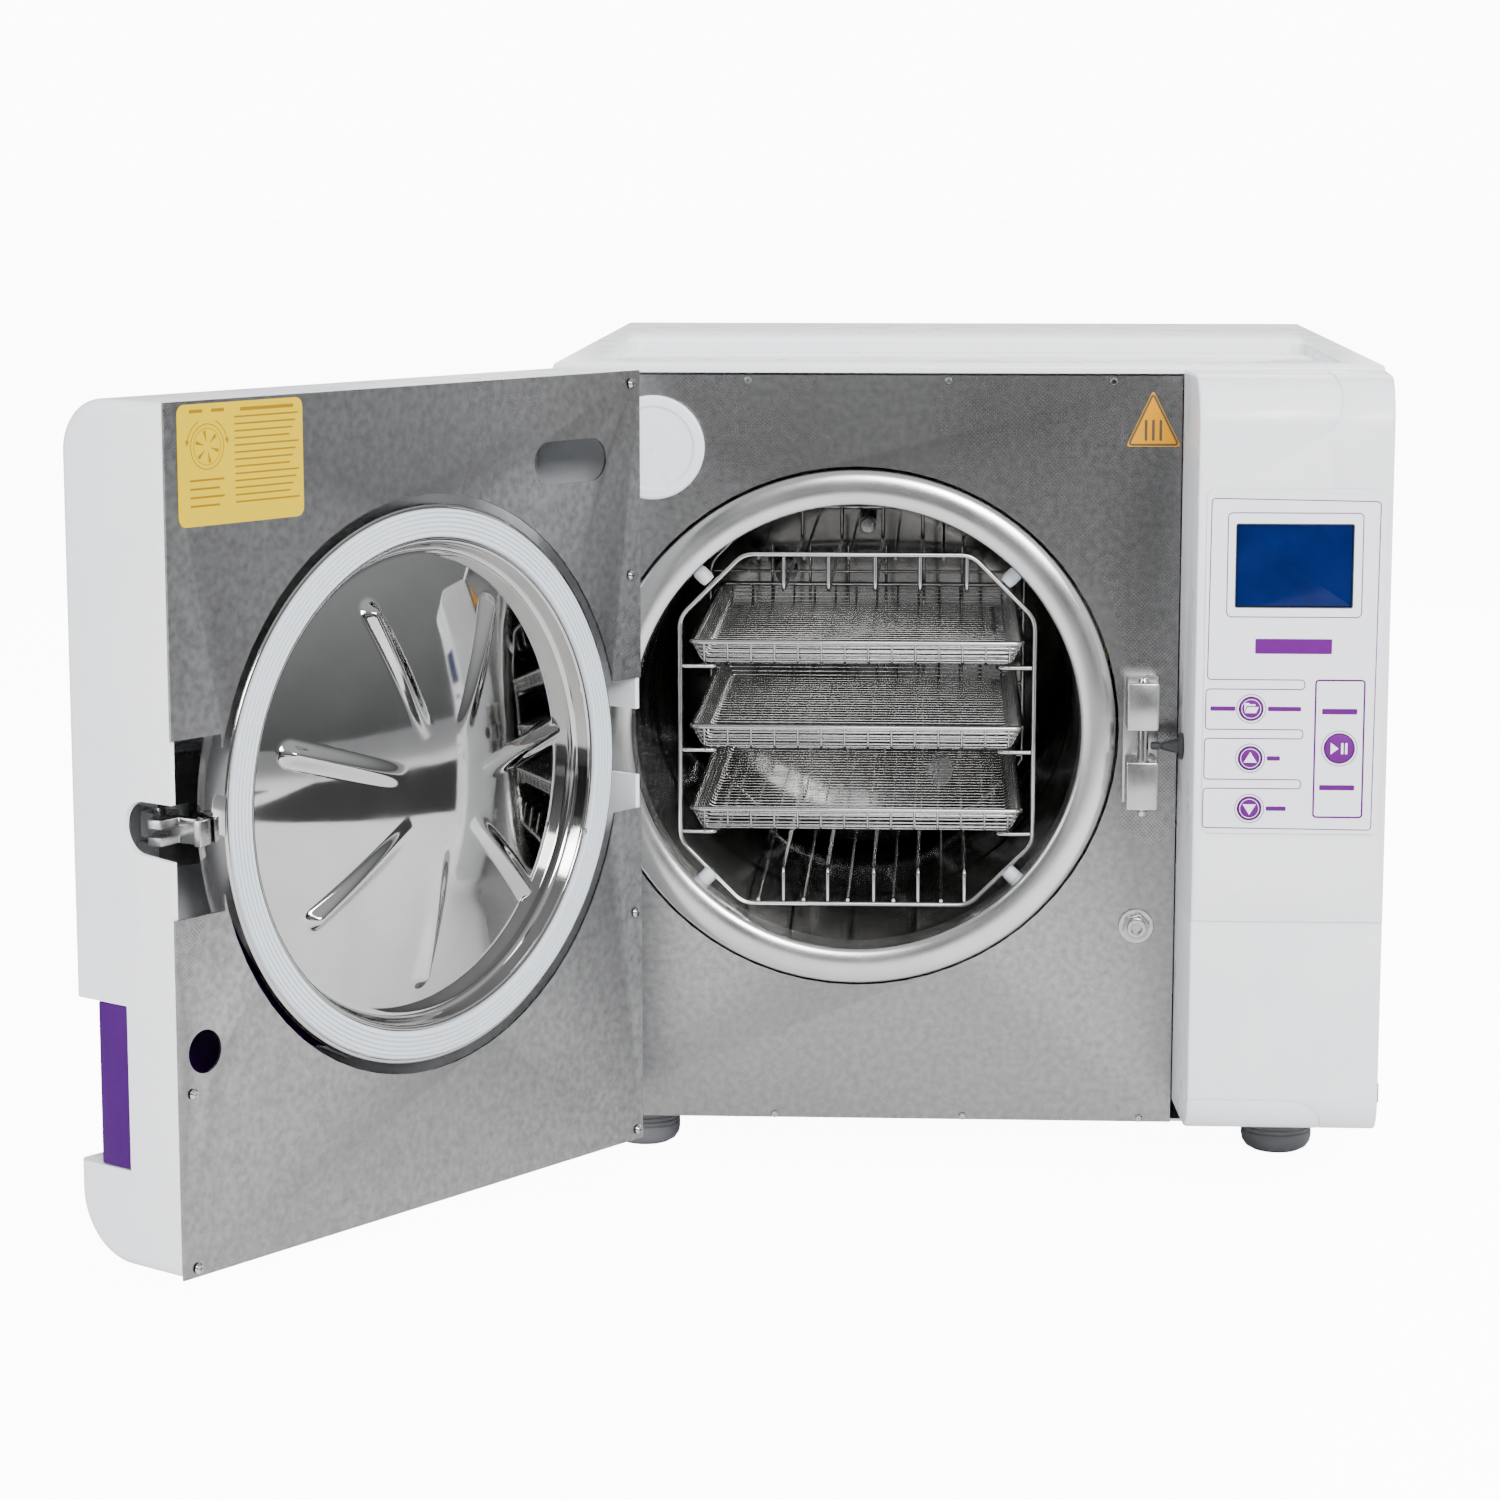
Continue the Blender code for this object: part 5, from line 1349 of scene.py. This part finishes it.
# %% One tray, made at the origin and set down three times
TRAY_FRONT, TRAY_BACK, TRAY_TALL = 8.0, 298.0, 14.5
FLOOR_HALF, RIM_HALF = 86.0, 92.5
LEAN = RIM_HALF - FLOOR_HALF
CROSS_WIRES, LONG_WIRES, LONG_PITCH = 29, 14, 13.08
CROSS_R, LONG_R, RING_R, RIM_R = 0.46, 0.7, 0.42, 1.45


def tray_ring(z, radius, sides=6):
    """A level ring round the leaning walls at height z."""
    out = LEAN * z / TRAY_TALL
    x, front, back = FLOOR_HALF + out, TRAY_FRONT + LEAN - out, TRAY_BACK - LEAN + out
    return wire([(x, front, z), (x, back, z), (-x, back, z), (-x, front, z)], radius, 5,
                cyclic=True, sides=sides)


def tray_mesh(base):
    rim_z = TRAY_TALL - 1.0
    path = [(-RIM_HALF + 0.4, 0, rim_z), (-FLOOR_HALF, 0, 1.8), (FLOOR_HALF, 0, 1.8),
            (RIM_HALF - 0.4, 0, rim_z)]
    across = wire(path, CROSS_R, 3, sides=8, steps=3)
    pitch = (TRAY_BACK - TRAY_FRONT - 2 * LEAN - 2) / (CROSS_WIRES - 1)
    across.transform(Matrix.Translation((0, TRAY_FRONT + LEAN + 1, 0)))
    path = [(0, TRAY_FRONT - 0.4, rim_z), (0, TRAY_FRONT + LEAN - 0.9, 0.7),
            (0, TRAY_BACK - LEAN + 0.9, 0.7), (0, TRAY_BACK + 0.4, rim_z)]
    along = wire(path, LONG_R, 3, sides=8, steps=3)
    along.transform(Matrix.Translation((-85, 0, 0)))
    across_row = row(across, CROSS_WIRES, (0, pitch, 0), BRIGHT)
    along_row = row(along, LONG_WIRES, (LONG_PITCH, 0, 0), BRIGHT)
    rings = [tray_ring(z, RING_R) for z in (3.4, 5.8, 8.2, 10.6)]
    tray = joined(across_row, along_row, *rings, tray_ring(rim_z, RIM_R, 12))
    tray.transform(Matrix.Translation((0, 0, base)))
    return tray


for level, rail in zip(("lower", "middle", "upper"), RAILS):
    basket = tray_mesh(rail + 1.8)
    keep(f"{level}_basket", basket, BRIGHT, f"{level}_tray", "wire_steel", [f"{level}_tray"],
         smooth=60)
print("each tray has", len(basket.polygons), "faces")

# %% [markdown]
# ## The latch
#
# A pin stands between two steel blocks beside the chamber. The hook on the door swings behind the
# pin, and the lock's plunger comes out of the housing to hold it. The blocks are eased prisms, the
# pin has turned ends, and the hook is cut from thick plate, with its edges broken and its pivot
# screw in place.

# %% Receiver, pin and plunger
RECEIVER = (148.7, 165.9)
ROD_X, ROD_Y, LATCH_Z = 157.6, -25, 243.5
blocks = [block((RECEIVER[0], -30.0, low), (RECEIVER[1], -2.0, high), 0.9, 3) for low,
          high in ((208.3, 234.9), (252.2, 278.5))]
blocks = [boolean(one, [bar((ROD_X, ROD_Y, 190), 3.3, 110, "Z", 40)]) for one in blocks]
plate = block((147.7, -3.5, 208.3), (166.9, -0.3, 278.5), 0.5, 2)
keep("receiver_blocks", joined(*blocks, plate), SATIN, "cabinet", "brushed_steel",
     ["latch_receiver"])
pin = turned([(0, 204.0), (1.6, 204.0), (2.4, 204.5), (3.0, 206.4), (3.0, 207.0), (2.2, 207.3),
              (2.2, 207.9), (3.0, 208.2),
              (3.0, 279.0), (2.4, 280.6), (1.4, 281.0), (0, 281.0)], (ROD_X, ROD_Y, 0), "Z", 48)
keep("receiver_rod", pin, BRIGHT, "cabinet", "polished_steel", ["receiver_pin"])
screws("receiver_screws", [(157.3, -3.6, z) for z in (241.0, 246.0)], 1.9, FACE_FRONT, tall=0.6)
plunger = turned([(0, 0), (1.4, 0), (2.0, 0.5), (2.2, 1.0), (2.2, 4.6), (1.7, 5.0), (1.7, 5.8),
                  (2.2, 6.2), (4.5, 16.0),
                  (4.5, 17.0), (4.0, 19.0), (4.0, 46.0), (0, 46.0)], (161.7, ROD_Y, LATCH_Z), "X",
                  40)
keep("lock_pin", plunger, BLACK, "lock_pin", "black_plastic", ["lock_plunger"])
collar = turned([(4.9, 0), (7.0, 0), (7.4, -0.6), (7.4, -2.0), (6.6, -2.6), (4.9, -2.6)],
                (179.4, ROD_Y, LATCH_Z), "X", 40, ring=True)
keep("lock_collar", collar, BLACK, "cabinet", "black_plastic")

# %% The hook: a claw of plate, released by ten degrees as the frame holds it
HOOK_AT, HOOK_RELEASED = Vector((143.0, -54.0, LATCH_Z)), radians(10)
claw = [(-6, -6), (6, -6), (9, 6), (24, 12), (24, 20), (11, 21), (11, 32.8), (15.5, 32.8),
        (15.5, 37), (7, 37),
        (7, 18), (-6, 8)]
hook = eased(prism(claw, -6.5, 6.5, "Z"), 0.7, 3, 25)
hook = boolean(hook, [bar((0, 0, -20), 3.15, 40, "Z", 40), block((10.5, 5, -2.2), (26, 24, 2.2))])
hook.transform(Matrix.Translation(HOOK_AT) @ Matrix.Rotation(HOOK_RELEASED, 4, "Z"))
keep("hook_claw", hook, SATIN, "hook", "zinc_steel", ["latch_hook"], DOOR)
pivot_cap = turned([(0, 256.2), (3.6, 256.2), (4.4, 255.6), (4.4, 253.4), (0, 253.4)],
                   (HOOK_AT.x, HOOK_AT.y, 0), "Z", 40)
keep("hook_pivot_cap", pivot_cap, BRIGHT, "door", "polished_steel", move=DOOR)
print("latch:", len(blocks), "blocks, a pin, a plunger and a hook")

# %% [markdown]
# ## Fittings on the steel panel
#
# A bacterial filter shows as a round white cap with a raised lip, and the drain as a hexagon nut
# with a round barrel in it. Cap, washer and barrel are turned, and the nut is a six-sided prism.

# %% Filter cap and drain
FILTER = (-112.3, 403.8)
cap = turned([(0, -5.2), (1.0, -5.2), (1.1, -4.6), (1.8, -4.6), (22.0, -4.6), (23.2, -5.8),
              (27.4, -5.8), (28.5, -4.7),
              (28.5, -0.3), (0, -0.3)], (FILTER[0], 0, FILTER[1]), steps=112)
keep("filter_cap", cap, MOULDED, "cabinet", "white_plastic", ["bacterial_filter"])
DRAIN = (156.7, 137.7)
hexagon = [(DRAIN[0] + 7.8 * cos(pi / 3 * i + 0.3), DRAIN[1] + 7.8 * sin(pi / 3 * i + 0.3))
           for i in range(6)]
nut = prism(hexagon, -5.4, -1.6, bevel=0.5)
washer = turned([(0, -1.7), (9.4, -1.7), (9.8, -1.3), (9.8, -0.3), (0, -0.3)],
                (DRAIN[0], 0, DRAIN[1]), steps=64)
barrel = turned([(0, -6.4), (3.0, -6.4), (3.0, -9.2), (3.4, -9.5), (4.9, -9.5), (5.5, -8.9),
                 (5.5, -5.0), (0, -5.0)],
                (DRAIN[0], 0, DRAIN[1]), steps=56)
keep("drain_nut", joined(nut, washer, barrel), SATIN, "cabinet", "zinc_steel", ["drain_fitting"])
rivets = [(x, -0.6, 27.4) for x in (-45.0, 61.0, 160.0)] + [(x, -0.6, 440.5)
                                                            for x in (-60.0, 50.0, 140.0)]
screws("panel_screws", rivets, 2.1, FACE_FRONT, tall=0.9, material=BRIGHT)

# %% [markdown]
# ## Signs
#
# The yellow plate on the door shows how the disc is turned to adjust the seal, and the triangle
# warns of heat. Both are made generic here: plain bars stand where words would be, and the
# triangle carries three plain bars.

# %% The triangle
apex, base_left, base_right = (161.4, 435.9), (147.0, 405.0), (177.0, 405.1)


def triangle(inset):
    centre = Vector((161.8, 415.4))
    return softened([tuple(centre + (Vector(p) - centre) * (1 - inset))
                     for p in (apex, base_left, base_right)], 2.4 * (1 - inset))


triangle_plate = prism(triangle(0.0), -0.45, -0.05)
keep("heat_sign", triangle_plate, AMBER, "cabinet", "white_plastic")
border = ribbon(triangle(0.10), 1.15, -0.45, 0.04)
heat_bars = [prism(rounded_box(161.8 + dx - 0.75, 408.2, 161.8 + dx + 0.75, 419.8, 0.7, 4), -0.49,
                   -0.45) for dx in (-4, 0, 4)]
keep("heat_sign_marks", joined(border, *heat_bars), INK, "cabinet", "black_plastic")

# %% The yellow plate on the door, with a dial diagram and plain bars
PLATE_FACE = -8.0
PLATE = (86.0, 391.0, 167.5, 448.2)  # right-hand end of the shut door's upper sheet
sticker = prism(rounded_box(*PLATE, 4.5, 8), PLATE_FACE + 0.05, PLATE_FACE + 0.3)
keep("seal_plate", sticker, YELLOW, "door", "white_plastic", move=DOOR)
ink_face = PLATE_FACE + 0.3


def ink(outline):
    return prism(outline, ink_face + 0.002, ink_face + 0.035)


def ink_line(path, width, closed=True):
    return ribbon(path, width, ink_face + 0.037, 0.035, closed)


dial_x, dial_z = 148.6, 428.0
dial = [ink_line(arc(dial_x, dial_z, 10.6, 0, 360, 56)[:-1], 0.45),
        ink_line(arc(dial_x, dial_z, 8.6, 0, 360, 48)[:-1], 0.3)]
for i in range(6):
    t = 2 * pi * i / 6 + 0.3
    near = (dial_x + 1.8 * cos(t), dial_z + 1.8 * sin(t))
    far = (dial_x + 7.6 * cos(t), dial_z + 7.6 * sin(t))
    side = (0.9 * sin(t), -0.9 * cos(t))
    dial.append(ink([near, (far[0] + side[0], far[1] + side[1]),
                     (far[0] - side[0], far[1] - side[1])]))
for start, end in ((115, 165), (65, 15)):
    dial.append(ink_line(arc(dial_x, dial_z, 13.0, start, end, 12), 0.5, closed=False))
    t = radians(end)
    tip = Vector((dial_x + 13.0 * cos(t), dial_z + 13.0 * sin(t)))
    way = Vector((-sin(t), cos(t))) * (1 if end > start else -1)
    out = Vector((cos(t), sin(t)))
    dial.append(ink([tuple(tip + out * 1.3), tuple(tip - out * 1.3), tuple(tip + way * 2.8)]))
dial += [ink(rounded_box(x - 4.2, 444.0, x + 4.2, 445.6, 0.5, 3)) for x in (141.5, 155.5)]
rows_of_bars = []
for i in range(13):
    z = 441.0 - 3.35 * i
    short = 8.0 * ((i * 5) % 4) / 4
    rows_of_bars.append(ink(rounded_box(88.8 + short, z - 0.42, 131.0, z + 0.42, 0.3, 2)))
rows_of_bars.append(ink(rounded_box(92.0, 443.6, 127.0, 445.3, 0.5, 3)))
rows_of_bars += [ink(rounded_box(138.0 + 3 * (i % 2), 412.0 - 4.0 * i, 160.0, 413.0 - 4.0 * i, 0.3,
                                 2)) for i in range(4)]
keep("seal_plate_print", joined(*dial, *rows_of_bars), OCHRE, "door", "white_plastic", move=DOOR)
print("sign and plate with", len(dial) + len(rows_of_bars), "printed marks")

# %% [markdown]
# ## The sides and the back
#
# Nobody looks at these first, but a technician works here. The right-hand side has a field of
# louvre slots for cool air. The back has the fan behind its wire guard, louvres, the mains inlet
# with three pins, two hose tails, a rating plate left blank, and a row of screws round its edge.
# Slots are real openings, cut with a row of rounded tools grown by the row tree.

# %% Slots as one cutter


def slot_cutter(x, y, z, long, tall, count, step, axis):
    """A row of rounded slots through a sheet; axis is the one the sheet faces."""
    if axis == "X":
        one = prism(rounded_box(y - long / 2, z - tall / 2, y + long / 2, z + tall / 2,
                                tall / 2.05, 6), x - 8, x + 8, "X")
    else:
        one = prism(rounded_box(x - long / 2, z - tall / 2, x + long / 2, z + tall / 2,
                                tall / 2.05, 6), y - 8, y + 8)
    return row(one, count, step, ZINC)


SHEET_TOP, SHEET_LOW, SHEET = 440.2, 25.4, 1.5
vent_cutters = [slot_cutter(SIDE_RIGHT, y, 250, 44, 3.4, 14, (0, 0, 9.0), "X") for y in (342, 402)]
side = boolean(block((SIDE_RIGHT - SHEET, 1.8, SHEET_LOW), (SIDE_RIGHT, 498.2, SHEET_TOP)),
               vent_cutters)
keep("right_side_sheet", side, PAINTED, "cabinet", "white_sheet", ["right_side_panel"])
side_points = [(y, z) for y in (14, 250, 486) for z in (38, 428)]
screws("right_side_screws", [(SIDE_RIGHT + 0.12, y, z) for y, z in side_points], 3.2, FACE_RIGHT,
       tall=0.7)
screws("left_side_screws", [(LEFT - 0.12, y, z) for y, z in side_points], 3.2, FACE_LEFT, tall=0.7)

# %% The rear sheet with its openings
FAN = (215.0, 355.0, 36.0)
rear_tools = [bar((FAN[0], 480, FAN[1]), FAN[2], 40, "Y", 96),
              block((200.5, 480, 62.5), (229.5, 520, 87.5)),
              slot_cutter(60, BACK, 180, 70, 3.6, 16, (0, 0, 9.5), "Y"),
              slot_cutter(-60, BACK, 180, 70, 3.6, 16, (0, 0, 9.5), "Y")]
rear = boolean(block((LEFT, BACK - SHEET, SHEET_LOW), (SIDE_RIGHT, BACK, SHEET_TOP)), rear_tools)
keep("rear_sheet", rear, PAINTED, "cabinet", "white_sheet", ["rear_panel"])
edge = [(x, z) for x in (-158, -50, 60, 170, 278)
        for z in (36, 430)] + [(x, z) for x in (-158, 278) for z in (165, 300)]
screws("rear_screws", [(x, BACK + 0.4, z) for x, z in edge], 3.0, FACE_BACK, tall=1.2)

# %% The wire guard over the fan: rings on four ribs
GUARD_Y = BACK + 1.6
guard = [wire([(FAN[0] + r * cos(t), GUARD_Y, FAN[1] + r * sin(t))
               for t in (2 * pi * k / 48 for k in range(48))], 0.8, 0,
              cyclic=True, sides=8) for r in (8, 15, 22, 29, 36)]
for k in range(4):
    t = pi / 4 + pi / 2 * k
    near, far = 7.0, 44.5
    guard.append(wire([(FAN[0] + r * cos(t), GUARD_Y - 0.6, FAN[1] + r * sin(t))
                       for r in (near, far)], 0.9, 0, sides=8))
keep("fan_guard", joined(*guard), BRIGHT, "cabinet", "wire_steel", smooth=60)
corners = [(FAN[0] + dx, BACK + 0.6, FAN[1] + dz) for dx in (-32, 32) for dz in (-32, 32)]
screws("fan_screws", corners, 3.0, FACE_BACK, tall=2.0)

# %% The fan: a rounded frame and a rotor with seven twisted blades
fan_low, fan_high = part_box("fan_frame")
half = (fan_high.x - fan_low.x) / 2 / MM
fan_front, fan_back = (fan_low.y - PANEL_Y) / MM, (fan_high.y - PANEL_Y) / MM
body = prism(rounded_box(FAN[0] - half, FAN[1] - half, FAN[0] + half, FAN[1] + half, 4, 6),
             fan_front, fan_back, bevel=0.6)
bore = bar((FAN[0], fan_front - 5, FAN[1]), FAN[2] + 1, 50, "Y", 80)
keep("fan_housing", boolean(body, [bore]), BLACK, "cabinet", "black_plastic", ["fan_frame"])


BLADES, BLADE_ROOT, BLADE_TIP = 7, 12.5, 34.2


def blade():
    """One twisted blade: a grid that leans more at the hub than at the tip."""
    def build(work):
        grid = []
        for i in range(9):
            r = BLADE_ROOT + (BLADE_TIP - BLADE_ROOT) * i / 8
            lean = radians(52 - 22 * i / 8)
            line = []
            for j in range(7):
                s = (j / 6 - 0.5) * (15 + 5 * i / 8)
                turn = s * cos(lean) / r
                line.append((r * cos(turn), s * sin(lean), r * sin(turn)))
            grid.append(line)
        sheets = [[[work.verts.new((x, y + dy, z)) for x, y, z in line] for line in grid]
                  for dy in (-0.6, 0.6)]
        for sheet, flip in zip(sheets, (False, True)):
            for i in range(8):
                for j in range(6):
                    corners = [sheet[i][j], sheet[i + 1][j], sheet[i + 1][j + 1], sheet[i][j + 1]]
                    work.faces.new(corners[::-1] if flip else corners)
        near, far = sheets
        rim = [(i, 0) for i in range(9)] + [(8, j) for j in range(1, 7)]
        rim += [(i, 6) for i in range(7, -1, -1)] + [(0, j) for j in range(5, 0, -1)]
        for (i, j), (m, n) in zip(rim, rim[1:] + rim[:1]):
            work.faces.new((near[i][j], near[m][n], far[m][n], far[i][j]))

    return mesh_of(build)


blades = row(blade(), BLADES, (0, 0, 0), BLACK, 2 * pi / BLADES)
hub = turned([(0, 7.9), (11, 7.9), (13.6, 6.4), (14, 4), (14, -7.9), (0, -7.9)], (0, 0, 0),
             steps=64)
rotor = joined(blades, hub)
rotor.transform(Matrix.Translation((FAN[0], 484, FAN[1])))
keep("fan_wheel", rotor, BLACK, "fan", "black_plastic", ["fan_rotor"], smooth=40)

# %% The mains inlet with three pins
flange_plate = prism([(190.5, 59.5), (239.5, 59.5), (239.5, 90.5), (190.5, 90.5)], BACK + 0.3,
                     BACK + 3.4, bevel=0.7)
throat = prism([(201, 63.2), (229, 63.2), (229, 81.5), (223.5, 86.8), (206.5, 86.8), (201, 81.5)],
               478, BACK + 0.4)
opening = prism([(203.4, 65.6), (226.6, 65.6), (226.6, 80.4), (222.4, 84.4), (207.6, 84.4),
                 (203.4, 80.4)], 482, BACK + 20)
keep("inlet_body", joined(boolean(flange_plate, [opening]), boolean(throat, [opening.copy()])),
     BLACK, "cabinet",
     "black_plastic", ["mains_inlet"])
pins = [block((x - 1.0, 482, z - 2.0), (x + 1.0, 497, z + 2.0), 0.3, 2) for x,
        z in ((208, 73), (215, 78.5), (222, 73))]
keep("inlet_pins", joined(*pins), BRIGHT, "cabinet", "polished_steel")
screws("inlet_screws", [(x, BACK + 3.3, 75) for x in (194.8, 235.2)], 1.9, FACE_BACK, tall=0.2)

# %% Two hose tails in low collars, and a blank plate
tails = []
for x, z in ((-120, 70), (-80, 70)):
    tails.append(turned([(0, 0.2), (9, 0.2), (9, 1.4), (7.2, 2.4), (6.2, 2.4), (6.2, 3.4),
                         (4.2, 3.4), (4.2, 0.6), (0, 0.6)],
                        (x, BACK, z), steps=56))
keep("hose_tails", joined(*tails), BRASS, "cabinet", "brass")
blank = prism(rounded_box(90, 52, 165, 98, 2.5, 6), BACK + 0.05, BACK + 0.45)
keep("rear_plate", blank, SATIN, "cabinet", "aluminium")
print("sides and back done")

# %% [markdown]
# ## The rocker switch and the rest
#
# The switch sits in the right-hand side of the fascia, in a thin bezel. Its face is hollowed on
# both sides of the middle, so that either half can be found and pressed by feel.

# %% The rocker
(x0, y0, z0), (x1, y1, z1) = (((corner.x - AXIS_X) / MM, (corner.y - PANEL_Y) / MM, corner.z / MM)
                              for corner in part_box("power_switch"))
ym = (y0 + y1) / 2
rocker = prism([(x0, y0 + 2), (x1, y0), (x1 - 1.5, (y0 + ym) / 2), (x1 - 1.6, ym),
                (x1 - 1.9, (y1 + ym) / 2), (x1 - 1.2, y1),
                (x0, y1 - 2)], z0 + 0.05, z1 - 0.05, "Z", bevel=0.35)
keep("rocker", rocker, BLACK, "switch", "black_plastic", ["power_switch"])

# %% The cap on the head of the hinge pin
pin_cap = turned([(0, 281.4), (4.6, 281.4), (5.2, 280.8), (5.2, 280.2), (0, 280.2)],
                 (-154.8, -50.1, 0), "Z", 40)
keep("hinge_pin_cap", pin_cap, BRIGHT, "door", "polished_steel", move=DOOR)
hidden = [node for node in frame["nodes"].values() if node.hide_render]
print(len(hidden), "solids are stood for by pieces;", len(frame["nodes"]) - len(hidden),
      "still show")
